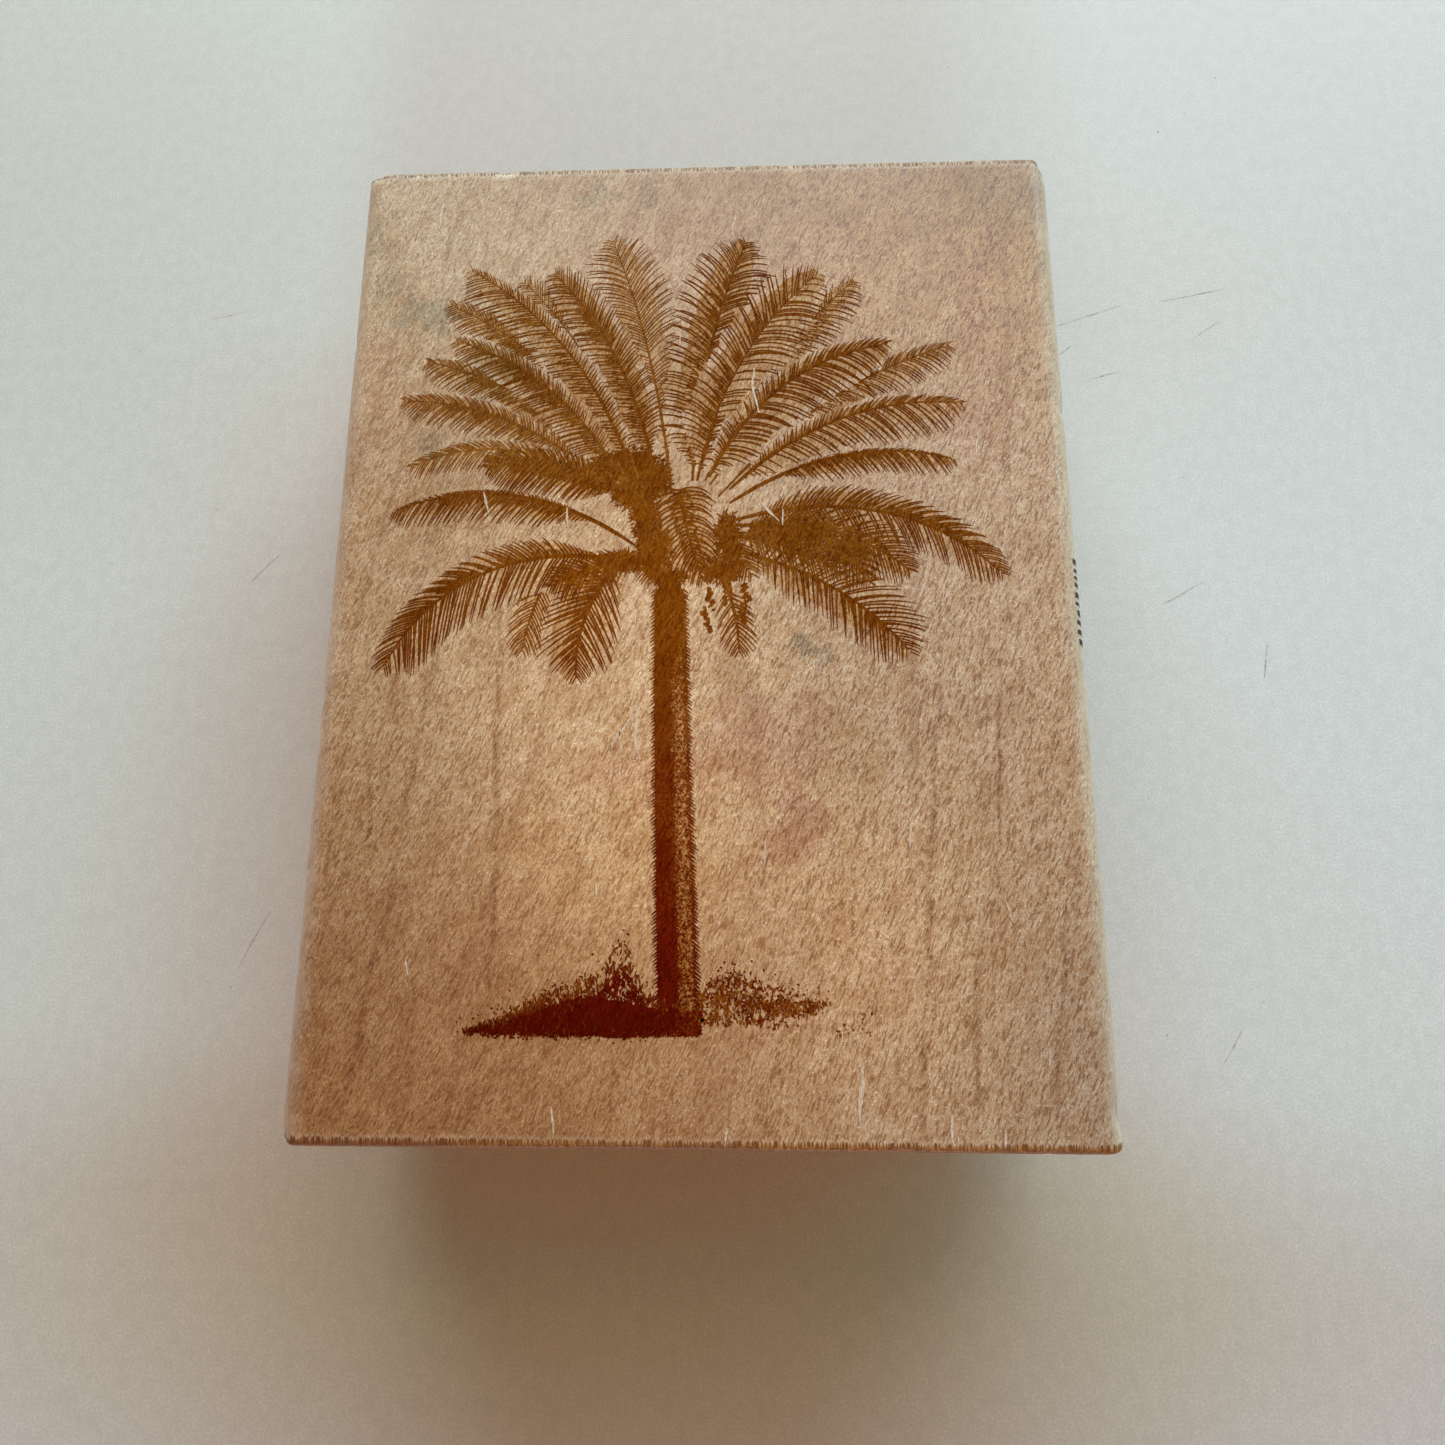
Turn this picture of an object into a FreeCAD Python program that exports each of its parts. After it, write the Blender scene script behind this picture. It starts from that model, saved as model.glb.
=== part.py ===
"""Wood-mounted rubber stamp: a moulded maple block, a foam cushion and a rubber die, glued in a stack.

The stamp stands on its printing face. Z is up through the stack. Y runs along the block and its grain,
towards the top of the picture. The origin is the middle of the block's footprint, at the printing face.
The same picture, a feather palm, is raised on the die and inked on the block's top face as an index.
Units are millimetres and degrees.
"""

import FreeCAD
import Part

import math
import os

# ---- driving dimensions ----
BLOCK_WIDTH = 76.0
BLOCK_LENGTH = 101.6
BLOCK_THICKNESS = 20.0
SIDE_ROUND = 2.2          # round-over along the two long top edges
END_EASE = 0.5            # sanded edges round both sawn ends
GROOVE_LOW = 5.0          # finger groove, heights above the block's underside
GROOVE_HIGH = 15.0
GROOVE_DEPTH = 1.8

RELIEF_HEIGHT = 1.3       # raised picture of the die
DIE_SHEET = 1.1           # sheet that carries it
ADHESIVE_FILM = 0.12
CUSHION_THICKNESS = 3.2
INK_FILM = 0.04

# ---- heights of the stack ----
DIE_BACK_Z = RELIEF_HEIGHT + DIE_SHEET
CUSHION_Z = DIE_BACK_Z + ADHESIVE_FILM
UPPER_FILM_Z = CUSHION_Z + CUSHION_THICKNESS
BLOCK_Z = UPPER_FILM_Z + ADHESIVE_FILM
TOP_Z = BLOCK_Z + BLOCK_THICKNESS

# ---- outline that the die and cushion are trimmed to: x, y, corner radius ----
TRIM_OUTLINE = [
    (-26.5, -45.0, 3.0),
    (17.0, -45.0, 3.0),
    (17.0, -36.0, 2.5),
    (5.0, -31.5, 3.0),
    (4.0, -11.0, 3.0),
    (26.0, -11.5, 4.0),
    (35.5, -1.0, 4.0),
    (35.5, 19.0, 5.0),
    (29.5, 34.0, 5.0),
    (11.0, 45.0, 5.0),
    (-13.0, 45.0, 5.0),
    (-29.0, 40.0, 4.0),
    (-36.0, 26.0, 5.0),
    (-36.0, -11.5, 4.0),
    (-9.5, -12.5, 3.0),
    (-8.5, -29.0, 3.0),
    (-13.0, -33.0, 2.5),
    (-26.5, -39.0, 2.5),
]

# ---- the palm: each frond is root x, root y, launch, droop, length, half width ----
# Launch is the spine's first direction, turned clockwise from straight up. Droop is how far the spine
# bends on from there to the tip, most of it near the tip.
FROND_BEND = 1.25
FRONDS = [
    (-4.0, 12.0, -5.0, -10.0, 30.0, 3.4),
    (-5.0, 12.0, -10.0, -29.0, 29.0, 2.8),
    (-5.5, 12.0, -15.0, -30.0, 29.5, 2.4),
    (-6.0, 12.0, -20.0, -48.0, 33.5, 2.6),
    (-6.0, 11.5, -27.0, -46.0, 32.0, 2.2),
    (-6.5, 11.5, -31.0, -52.0, 27.5, 2.2),
    (-6.5, 11.0, -38.0, -52.0, 29.5, 2.4),
    (-7.0, 10.5, -45.0, -54.0, 29.0, 2.2),
    (-7.0, 10.0, -56.0, -70.0, 27.5, 2.6),
    (-6.0, 5.5, -50.0, -74.0, 30.0, 1.8),
    (-5.0, 3.0, -70.0, -94.0, 34.0, 2.8),
    (-12.0, 5.0, -125.0, -46.0, 12.5, 2.8),
    (-5.5, 3.0, -122.0, -48.0, 14.5, 3.8),
    (-1.0, 12.0, 4.0, 20.0, 30.5, 3.4),
    (0.0, 12.0, 12.0, 34.0, 29.5, 3.6),
    (0.5, 12.0, 22.0, 26.0, 30.0, 2.6),
    (1.5, 11.5, 22.0, 66.0, 27.5, 3.0),
    (1.5, 11.5, 42.0, 36.0, 30.5, 2.4),
    (2.0, 11.0, 45.0, 58.0, 28.5, 2.4),
    (1.5, 9.0, 52.0, 66.0, 27.0, 1.8),
    (2.0, 8.0, 70.0, 72.0, 33.0, 2.8),
    (4.0, 8.5, 84.0, 78.0, 17.5, 2.8),
    (3.0, 5.5, 100.0, 46.0, 23.0, 3.0),
    (2.0, 4.0, 145.0, 40.0, 10.0, 2.4),
    (-1.2, 12.5, 162.0, 20.0, 11.0, 3.4),
]
HEART = [(-7.5, 12.5, 5.0), (-2.0, 6.5, 5.5), (3.5, 7.0, 3.5)]   # dense middle of the crown: x, y, radius
TRUNK = [(-5.0, 6.0), (-4.7, -20.0), (-3.9, -41.0), (0.3, -41.0), (-0.3, -20.0), (-1.0, 6.0)]
NEAR_MOUND = [(-21.5, -41.8), (-13.0, -38.8), (-7.2, -34.0), (-4.0, -38.5), (0.4, -40.8), (-6.0, -42.0)]
FAR_MOUND = [(-0.5, -38.0), (3.8, -36.4), (12.3, -39.2), (7.0, -41.0), (-0.5, -41.0)]


def vector(point, z=0.0):
    return FreeCAD.Vector(point[0], point[1], z)


def prism(wire, height):
    """The closed wire's face, raised by height."""
    return Part.Face(wire).extrude(FreeCAD.Vector(0, 0, height))


def rounded_polygon(corners, z):
    """Closed wire through x, y, radius corners, each rounded by a tangent arc."""
    count = len(corners)
    arcs = []
    for i, (x, y, radius) in enumerate(corners):
        corner = vector((x, y), z)
        to_last = (vector(corners[i - 1], z) - corner).normalize()
        to_next = (vector(corners[(i + 1) % count], z) - corner).normalize()
        half = to_last.getAngle(to_next) / 2
        middle = (to_last + to_next).normalize()
        centre = corner + middle * (radius / math.sin(half))
        reach = radius / math.tan(half)
        arcs.append(Part.Arc(corner + to_last * reach, centre - middle * radius, corner + to_next * reach))
    edges = []
    for i, arc in enumerate(arcs):
        edges.append(arc.toShape())
        edges.append(Part.LineSegment(arc.EndPoint, arcs[(i + 1) % count].StartPoint).toShape())
    return Part.Wire(edges)


def spine_point(frond, share, steps=60):
    """Point on a frond's spine, and its direction as an angle in radians clockwise from straight up."""
    x, y, launch, droop, length, _ = frond
    angle = math.radians(launch)
    for i in range(round(steps * share)):
        along = (i + 0.5) / steps
        angle = math.radians(launch + droop * along ** FROND_BEND)
        x += math.sin(angle) * length / steps
        y += math.cos(angle) * length / steps
    return x, y, angle


def beside(point, offset, z):
    """Point at offset to the right of a spine point."""
    x, y, angle = point
    return FreeCAD.Vector(x + math.cos(angle) * offset, y - math.sin(angle) * offset, z)


def frond_blade(frond, z, height):
    """One frond as a solid blade between two arcs that meet near its tip."""
    half = frond[5]
    root, middle, tip = (spine_point(frond, share) for share in (0.0, 0.55, 1.0))
    left_root, right_root = beside(root, -half / 3, z), beside(root, half / 3, z)
    left_tip, right_tip = beside(tip, -half / 8, z), beside(tip, half / 8, z)
    edges = [
        Part.Arc(left_root, beside(middle, -half, z), left_tip).toShape(),
        Part.LineSegment(left_tip, right_tip).toShape(),
        Part.Arc(right_tip, beside(middle, half, z), right_root).toShape(),
        Part.LineSegment(right_root, left_root).toShape(),
    ]
    return prism(Part.Wire(edges), height)


def polygon_prism(points, z, height):
    return prism(Part.makePolygon([vector(p, z) for p in points + points[:1]]), height)


def palm_picture(z, height):
    """The whole palm as one raised solid: fronds, dense heart, trunk and the ground at its foot."""
    pieces = [frond_blade(frond, z, height) for frond in FRONDS]
    pieces += [Part.makeCylinder(radius, height, vector((x, y), z)) for x, y, radius in HEART]
    pieces += [polygon_prism(points, z, height) for points in (TRUNK, NEAR_MOUND, FAR_MOUND)]
    return pieces[0].multiFuse(pieces[1:]).removeSplitter()


def block_profile():
    """Section across the block, at its near end: round-overs on top and a finger groove in each side."""
    y = -BLOCK_LENGTH / 2

    def at(x, z):
        return FreeCAD.Vector(x, y, BLOCK_Z + z)

    side = BLOCK_WIDTH / 2
    groove_middle = (GROOVE_LOW + GROOVE_HIGH) / 2
    shoulder = BLOCK_THICKNESS - SIDE_ROUND
    bulge = SIDE_ROUND * (1 - math.sqrt(0.5))
    edges = []
    for sign in (1, -1):
        edges += [
            Part.LineSegment(at(sign * side, 0), at(sign * side, GROOVE_LOW)).toShape(),
            Part.Arc(
                at(sign * side, GROOVE_LOW),
                at(sign * (side - GROOVE_DEPTH), groove_middle),
                at(sign * side, GROOVE_HIGH),
            ).toShape(),
            Part.LineSegment(at(sign * side, GROOVE_HIGH), at(sign * side, shoulder)).toShape(),
            Part.Arc(
                at(sign * side, shoulder),
                at(sign * (side - bulge), BLOCK_THICKNESS - bulge),
                at(sign * (side - SIDE_ROUND), BLOCK_THICKNESS),
            ).toShape(),
        ]
    top_left, top_right = at(SIDE_ROUND - side, BLOCK_THICKNESS), at(side - SIDE_ROUND, BLOCK_THICKNESS)
    edges.append(Part.LineSegment(top_left, top_right).toShape())
    edges.append(Part.LineSegment(at(-side, 0), at(side, 0)).toShape())
    return Part.Wire(Part.__sortEdges__(edges))


def wood_block():
    """Maple moulding sawn to length, with the edges round both ends eased."""
    block = Part.Face(block_profile()).extrude(FreeCAD.Vector(0, BLOCK_LENGTH, 0))
    end = BLOCK_LENGTH / 2
    end_edges = [
        edge for edge in block.Edges
        if all(abs(abs(v.Y) - end) < 1e-6 for v in edge.Vertexes) and edge.BoundBox.YLength < 1e-6
    ]
    return block.makeFillet(END_EASE, end_edges)


def trimmed_layer(z, thickness):
    """A flat layer of the mounting stack, cut to the trimmed outline."""
    return prism(rounded_polygon(TRIM_OUTLINE, z), thickness)


def rubber_die():
    """One vulcanised piece: the sheet with the palm raised on its lower face, which prints at z = 0."""
    sheet = trimmed_layer(RELIEF_HEIGHT, DIE_SHEET)
    return sheet.fuse(palm_picture(0.0, RELIEF_HEIGHT)).removeSplitter()


def write(node, shape):
    solids = shape.Solids
    shape = solids[0] if len(solids) == 1 else Part.makeCompound(solids)
    shape.exportStep(f"parts/{node}.step")
    print(f"{node}: {len(solids)} solid(s), {shape.Volume:.1f} mm3, valid {shape.isValid()}")


os.makedirs("parts", exist_ok=True)
write("wood_block", wood_block())
write("index_print", palm_picture(TOP_Z, INK_FILM))
write("upper_adhesive_film", trimmed_layer(UPPER_FILM_Z, ADHESIVE_FILM))
write("foam_cushion", trimmed_layer(CUSHION_Z, CUSHION_THICKNESS))
write("lower_adhesive_film", trimmed_layer(DIE_BACK_Z, ADHESIVE_FILM))
write("rubber_die", rubber_die())
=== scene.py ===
"""Looks of the wood-mounted rubber stamp: maple block, inked palm, foam cushion, rubber die, pale floor and light."""

import math
import random

import bpy
import numpy as np
from mathutils import Matrix, Vector


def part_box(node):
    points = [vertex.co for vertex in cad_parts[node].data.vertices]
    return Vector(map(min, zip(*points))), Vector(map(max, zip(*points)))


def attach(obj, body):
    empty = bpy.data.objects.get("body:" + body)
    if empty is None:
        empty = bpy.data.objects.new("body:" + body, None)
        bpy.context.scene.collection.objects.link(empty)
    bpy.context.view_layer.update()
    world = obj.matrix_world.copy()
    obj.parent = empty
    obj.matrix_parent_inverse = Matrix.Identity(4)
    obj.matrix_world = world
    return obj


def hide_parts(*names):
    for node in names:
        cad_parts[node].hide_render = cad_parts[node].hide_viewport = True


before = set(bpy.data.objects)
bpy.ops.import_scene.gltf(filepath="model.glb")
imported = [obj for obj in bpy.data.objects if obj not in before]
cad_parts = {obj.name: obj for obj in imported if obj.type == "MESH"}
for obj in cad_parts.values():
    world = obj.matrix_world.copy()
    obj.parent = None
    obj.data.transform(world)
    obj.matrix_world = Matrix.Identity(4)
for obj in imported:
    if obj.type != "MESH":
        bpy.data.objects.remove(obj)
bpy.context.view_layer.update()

MM = 0.001

# ---- places taken from the CAD frame, in millimetres ----
BLOCK_LOW, BLOCK_HIGH = (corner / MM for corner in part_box("wood_block"))
MID_X, MID_Y = (BLOCK_LOW.x + BLOCK_HIGH.x) / 2, (BLOCK_LOW.y + BLOCK_HIGH.y) / 2
HALF_W, HALF_L = (BLOCK_HIGH.x - BLOCK_LOW.x) / 2, (BLOCK_HIGH.y - BLOCK_LOW.y) / 2
TOP, UNDER = BLOCK_HIGH.z, BLOCK_LOW.z
DIE_LOW, DIE_HIGH = (corner.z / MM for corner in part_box("rubber_die"))
FOAM_LOW, FOAM_HIGH = (corner.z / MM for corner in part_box("foam_cushion"))

SIDE_ROUND = 2.2
END_EASE = 0.62
GROOVE_LOW, GROOVE_HIGH, GROOVE_DEPTH = 5.0, 15.0, 1.8
RELIEF = 1.3


# =====================================================================================================
# shader helper
# =====================================================================================================
class Shader:
    """A material and the few calls that add and wire its nodes."""

    def __init__(self, name):
        self.material = bpy.data.materials.new(name)
        self.material.use_nodes = True
        self.tree = self.material.node_tree
        self.tree.nodes.clear()
        self.output = self.tree.nodes.new("ShaderNodeOutputMaterial")
        coordinates = self.tree.nodes.new("ShaderNodeTexCoord")
        self.normal = coordinates.outputs["Normal"]
        self.point = self.vector("SCALE", coordinates.outputs["Object"], scale=1 / MM)   # millimetres
        split = self.node("SeparateXYZ", {0: self.point})
        self.x, self.y, self.z = split.outputs

    def node(self, kind, inputs=None, **settings):
        made = self.tree.nodes.new("ShaderNode" + kind)
        for key, value in settings.items():
            setattr(made, key, value)
        for key, value in (inputs or {}).items():
            if isinstance(value, bpy.types.NodeSocket):
                self.tree.links.new(value, made.inputs[key])
            else:
                made.inputs[key].default_value = value
        return made

    def math(self, operation, a, b=0.0, clamp=False):
        return self.node("Math", {0: a, 1: b}, operation=operation, use_clamp=clamp).outputs[0]

    def vector(self, operation, a, b=(0, 0, 0), scale=1.0):
        made = self.node("VectorMath", {0: a}, operation=operation)
        if operation == "SCALE":
            made.inputs["Scale"].default_value = scale
        elif isinstance(b, bpy.types.NodeSocket):
            self.tree.links.new(b, made.inputs[1])
        else:
            made.inputs[1].default_value = b
        return made.outputs[0]

    def combine(self, x, y, z):
        return self.node("CombineXYZ", {0: x, 1: y, 2: z}).outputs[0]

    def step(self, value, low, high, to_low=0.0, to_high=1.0):
        """Smooth step of value from low to high."""
        return self.node(
            "MapRange",
            {"Value": value, "From Min": low, "From Max": high, "To Min": to_low, "To Max": to_high},
            interpolation_type="SMOOTHSTEP",
        ).outputs[0]

    def mix(self, factor, a, b, blend="MIX"):
        made = self.node("Mix", data_type="RGBA", blend_type=blend)
        for key, value in ((0, factor), (6, a), (7, b)):
            if isinstance(value, bpy.types.NodeSocket):
                self.tree.links.new(value, made.inputs[key])
            elif key:
                made.inputs[key].default_value = (*value, 1.0)
            else:
                made.inputs[key].default_value = value
        return made.outputs[2]

    def noise(self, vector, scale, detail=2.0, roughness=0.5, distortion=0.0):
        return self.node(
            "TexNoise",
            {"Vector": vector, "Scale": scale, "Detail": detail, "Roughness": roughness, "Distortion": distortion},
        ).outputs[0]

    def stretched(self, x_size, y_size, z_size, vector=None):
        """Coordinates in which a feature of scale 1 is x_size by y_size by z_size millimetres."""
        return self.vector("MULTIPLY", vector or self.point, (1 / x_size, 1 / y_size, 1 / z_size))

    def finish(self, colour, roughness, height=None, depth=0.02, **constants):
        """Principled surface; depth is the bump's height in millimetres."""
        surface = self.node("BsdfPrincipled", {"Base Color": colour, "Roughness": roughness})
        for key, value in constants.items():
            surface.inputs[key.replace("_", " ")].default_value = value
        if height is not None:
            bump = self.node("Bump", {"Height": height, "Strength": 1.0, "Distance": depth * MM})
            self.tree.links.new(bump.outputs[0], surface.inputs["Normal"])
        self.tree.links.new(surface.outputs[0], self.output.inputs["Surface"])
        return self.material


# =====================================================================================================
# maple
# =====================================================================================================
# Stains on the top face: x, y, radius x, radius y, colour it multiplies by, strength
STAINS = [
    (6.5, -14.0, 6.0, 5.0, (0.84, 0.69, 0.71), 0.66),
    (9.5, -22.0, 2.6, 4.0, (0.78, 0.61, 0.64), 0.64),
    (-4.0, -17.0, 6.5, 2.4, (0.93, 0.74, 0.71), 0.50),
    (29.5, 32.0, 2.6, 9.0, (0.90, 0.74, 0.74), 0.45),
    (28.0, 19.5, 4.0, 2.6, (0.90, 0.72, 0.70), 0.50),
    (-34.0, 24.0, 3.0, 4.5, (0.94, 0.76, 0.72), 0.45),
    (11.0, -5.3, 1.3, 1.5, (0.52, 0.60, 0.61), 0.85),
    (-29.9, 32.5, 2.8, 1.9, (0.52, 0.58, 0.55), 0.62),
    (-33.8, 37.0, 2.4, 3.6, (0.74, 0.80, 0.74), 0.55),
    (-35.6, 42.6, 0.9, 2.2, (0.55, 0.62, 0.55), 0.60),
    (-11.4, 46.6, 2.2, 1.5, (0.62, 0.68, 0.62), 0.60),
    (-6.6, 47.0, 1.3, 1.8, (0.56, 0.62, 0.56), 0.55),
    (-21.0, 26.0, 4.5, 3.4, (0.70, 0.80, 0.78), 0.60),
    (-28.5, 17.0, 2.8, 1.5, (0.62, 0.70, 0.66), 0.60),
    (33.2, 30.1, 1.1, 1.3, (0.62, 0.66, 0.64), 0.50),
    (34.0, 45.0, 6.0, 5.5, (0.86, 0.90, 0.90), 0.45),
    (7.5, 40.5, 3.5, 2.0, (0.84, 0.86, 0.84), 0.40),
    (20.6, -21.5, 1.1, 2.0, (1.12, 1.18, 1.28), 0.70),
    (24.8, -35.6, 1.6, 1.2, (1.10, 1.15, 1.22), 0.60),
    (-23.0, -20.5, 1.6, 1.2, (1.08, 1.12, 1.18), 0.55),
]
# Growth lines that reach the top face: x, y at the far end, x, y at the near end, half width, strength
GROWTH_LINES = [
    (-19.9, 6.0, -19.0, -41.0, 0.55, 0.62), (-19.2, -42.0, -20.8, -50.4, 0.55, 0.55),
    (-26.0, -3.0, -28.3, -23.6, 0.70, 0.55), (-28.4, -23.0, -31.9, -50.4, 0.60, 0.62),
    (-31.8, -12.0, -31.5, -25.0, 0.40, 0.50), (-34.5, -14.0, -35.6, -37.0, 0.40, 0.45),
    (23.5, -5.0, 20.8, -40.0, 0.55, 0.80), (20.5, -40.0, 19.6, -50.4, 0.55, 0.80),
    (28.9, -8.0, 28.0, -26.0, 0.36, 1.00), (25.9, -33.0, 24.8, -47.5, 0.60, 0.75),
    (34.4, -27.0, 31.3, -48.5, 0.60, 0.68), (-25.7, 50.4, -28.0, 36.5, 0.60, 0.50),
    (30.4, 50.4, 31.2, 38.0, 0.50, 0.45), (-15.5, 50.4, -17.6, 43.0, 0.45, 0.40),
]


def growth_line(s, wander, x0, y0, x1, y1, half, strength):
    """How strongly one thin soft line shows at a point."""
    along = s.math("MULTIPLY", s.math("SUBTRACT", MID_Y + y0, s.y), 1 / (y0 - y1))
    place = s.math("ADD", s.math("MULTIPLY", along, x1 - x0), wander)
    gap = s.math("ABSOLUTE", s.math("SUBTRACT", s.math("SUBTRACT", s.x, MID_X + x0), place))
    shown = s.math("MULTIPLY", s.step(gap, 0.0, half, strength, 0.0), s.step(along, -0.02, 0.18))
    return s.math("MULTIPLY", shown, s.step(along, 0.80, 1.02, 1.0, 0.0))


def maple(s):
    """Colour, bump height and roughness of lacquered hard maple."""
    # grain leans a little at the left of the face and straightens to the right
    lean = s.step(s.x, -40.0, 30.0, 0.20, 0.03)
    drift = s.math("SUBTRACT", s.noise(s.stretched(26, 60, 26), 1.0, 2.0), 0.5)
    across = s.math("SUBTRACT", s.x, s.math("MULTIPLY", s.y, lean))
    across = s.math("ADD", across, s.math("MULTIPLY", drift, 2.4))
    grain = s.combine(across, s.y, s.z)

    # growth rings round a pith below the block
    ring_x = s.math("SUBTRACT", across, 4.0)
    ring_z = s.math("ADD", s.z, 44.0)
    squared = s.math("ADD", s.math("MULTIPLY", ring_x, ring_x), s.math("MULTIPLY", ring_z, ring_z))
    radius = s.math("SQRT", squared)
    wander = s.noise(s.stretched(40, 90, 40), 1.0, 3.0)
    ring = s.math("ADD", s.math("MULTIPLY", radius, 0.42), s.math("MULTIPLY", wander, 1.3))
    phase = s.math("FRACT", ring)
    line = s.math("MULTIPLY", s.step(phase, 0.80, 0.975), s.step(phase, 0.975, 1.0, 1.0, 0.0))
    which = s.noise(s.stretched(9, 34, 9, grain), 1.0, 1.0)
    line = s.math("MULTIPLY", line, s.step(which, 0.47, 0.64))

    # short dark flecks along the grain, in two sizes, and pale pin specks
    fine = s.noise(s.stretched(0.09, 0.30, 0.09, grain), 1.0, 2.0, 0.7)
    speck = s.noise(s.stretched(0.17, 0.24, 0.17, grain), 1.0, 1.0)
    speck = s.step(speck, 0.58, 0.74)
    broad = s.noise(s.stretched(11, 30, 11, grain), 1.0, 3.0)

    # wrinkled lacquer over open grain: fine leaning ripples, and blotches a few millimetres long
    leaned = s.combine(s.math("SUBTRACT", s.x, s.math("MULTIPLY", s.y, 0.40)), s.y, s.z)
    on_top = s.step(s.z, TOP - 2.6, TOP - 1.2)
    along_y = s.combine(s.x, s.math("MULTIPLY", s.y, s.step(s.z, TOP - 2.6, TOP - 1.2, 0.16, 1.0)), s.z)
    leaned = s.mix(on_top, along_y, leaned)
    fleck = s.step(s.noise(s.stretched(0.18, 0.80, 0.18, leaned), 1.0, 1.0), 0.52, 0.65)
    rough = s.math("MULTIPLY", s.step(s.x, -14.0, 24.0, 0.72, 0.88), s.step(s.y, -44.0, -18.0, 0.92, 1.0))
    far_rough = s.math("MULTIPLY", s.step(s.y, 10.0, 38.0), s.step(s.x, -28.0, 32.0, -0.14, 0.12))
    rough = s.math("ADD", rough, far_rough)
    ripples = s.noise(s.stretched(0.25, 0.60, 0.25, leaned), 1.0, 3.0, 0.85)
    blotch = s.noise(s.stretched(2.4, 3.6, 2.4, leaned), 1.0, 3.0, 0.65)
    cloud = s.noise(s.stretched(16, 19, 16), 1.0, 4.0, 0.6)

    colour = s.mix(s.step(broad, 0.3, 0.7), (0.724, 0.454, 0.220), (0.763, 0.510, 0.272))
    colour = s.mix(s.math("MULTIPLY", s.step(cloud, 0.42, 0.66), 0.45), colour, (0.655, 0.415, 0.215))
    colour = s.mix(s.math("MULTIPLY", fleck, rough), colour, (0.345, 0.140, 0.045))
    colour = s.mix(s.step(fine, 0.35, 0.68, 0.56, 0.0), colour, (0.33, 0.16, 0.065))
    colour = s.mix(s.math("MULTIPLY", speck, 0.60), colour, (0.90, 0.78, 0.56))
    colour = s.mix(s.math("MULTIPLY", line, 0.34), colour, (0.34, 0.150, 0.060))
    shade = s.mix(s.step(ripples, 0.28, 0.72), (0.76, 0.62, 0.44), (1.19, 1.36, 1.68))
    colour = s.mix(1.0, colour, shade, "MULTIPLY")
    shade = s.mix(s.step(blotch, 0.30, 0.70), (0.89, 0.83, 0.76), (1.10, 1.15, 1.21))
    colour = s.mix(1.0, colour, shade, "MULTIPLY")

    # darker and yellower towards the near left corner, painted sheen down the right side, lighter in the middle
    darker_near_left = s.math("MULTIPLY", s.step(s.y, -46.0, -4.0, 1.0, 0.0), s.step(s.x, -30.0, 34.0, 1.0, 0.0))
    colour = s.mix(darker_near_left, colour, (0.66, 0.52, 0.385), "MULTIPLY")
    # painted sheen: lighter and bluer down the right side of the top face
    painted_sheen_right = s.math("MULTIPLY", s.step(s.x, -8.0, 26.0), s.step(s.y, 6.0, 34.0, 1.0, 0.0))
    colour = s.mix(painted_sheen_right, colour, (1.09, 1.15, 1.30), "MULTIPLY")
    # painted shade: darker and warmer at the far right, offsetting the window's sheen there
    painted_shade_far_right = s.math("MULTIPLY", s.step(s.x, 0.0, 34.0), s.step(s.y, 14.0, 44.0))
    colour = s.mix(painted_shade_far_right, colour, (0.85, 0.775, 0.560), "MULTIPLY")
    # painted sheen: lighter and bluer at the far left
    painted_sheen_far_left = s.math("MULTIPLY", s.step(s.x, -34.0, 4.0, 1.0, 0.0), s.step(s.y, 4.0, 40.0))
    colour = s.mix(painted_sheen_far_left, colour, (1.06, 1.185, 1.26), "MULTIPLY")
    from_middle = s.vector("MULTIPLY", s.vector("SUBTRACT", s.point, (-8.0, -8.0, TOP)), (1 / 26, 1 / 36, 0.02))
    near_middle = s.node("VectorMath", {0: from_middle}, operation="LENGTH").outputs["Value"]
    colour = s.mix(s.step(near_middle, 0.1, 1.0, 1.0, 0.0), colour, (1.42, 1.48, 1.52), "MULTIPLY")

    pale_foot = s.vector("MULTIPLY", s.vector("SUBTRACT", s.point, (2.0, -33.0, TOP)), (1 / 38, 1 / 20, 0.02))
    pale_foot = s.node("VectorMath", {0: pale_foot}, operation="LENGTH").outputs["Value"]
    colour = s.mix(s.step(pale_foot, 0.2, 1.1, 1.0, 0.0), colour, (1.24, 1.22, 1.17), "MULTIPLY")
    far_end = s.math("MULTIPLY", s.step(s.y, 36.0, 50.0), s.step(s.x, -34.0, 18.0, 0.35, 1.0))
    colour = s.mix(far_end, colour, (0.78, 0.72, 0.60), "MULTIPLY")

    low_right = s.math("MULTIPLY", s.step(s.x, 16.0, 37.0), s.step(s.y, -46.0, -12.0, 1.0, 0.0))
    colour = s.mix(low_right, colour, (0.77, 0.79, 0.82), "MULTIPLY")

    shown = 0.0
    bend = s.math("MULTIPLY", s.math("SUBTRACT", s.noise(s.stretched(8, 9, 8), 1.0, 3.0, 0.6), 0.5), 2.2)
    for growth in GROWTH_LINES:
        shown = s.math("MAXIMUM", shown, growth_line(s, bend, *growth))
    shown = s.math("MULTIPLY", s.math("MULTIPLY", shown, on_top), s.step(ripples, 0.34, 0.66, 1.0, 0.55))
    colour = s.mix(shown, colour, (0.57, 0.41, 0.31), "MULTIPLY")

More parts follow.
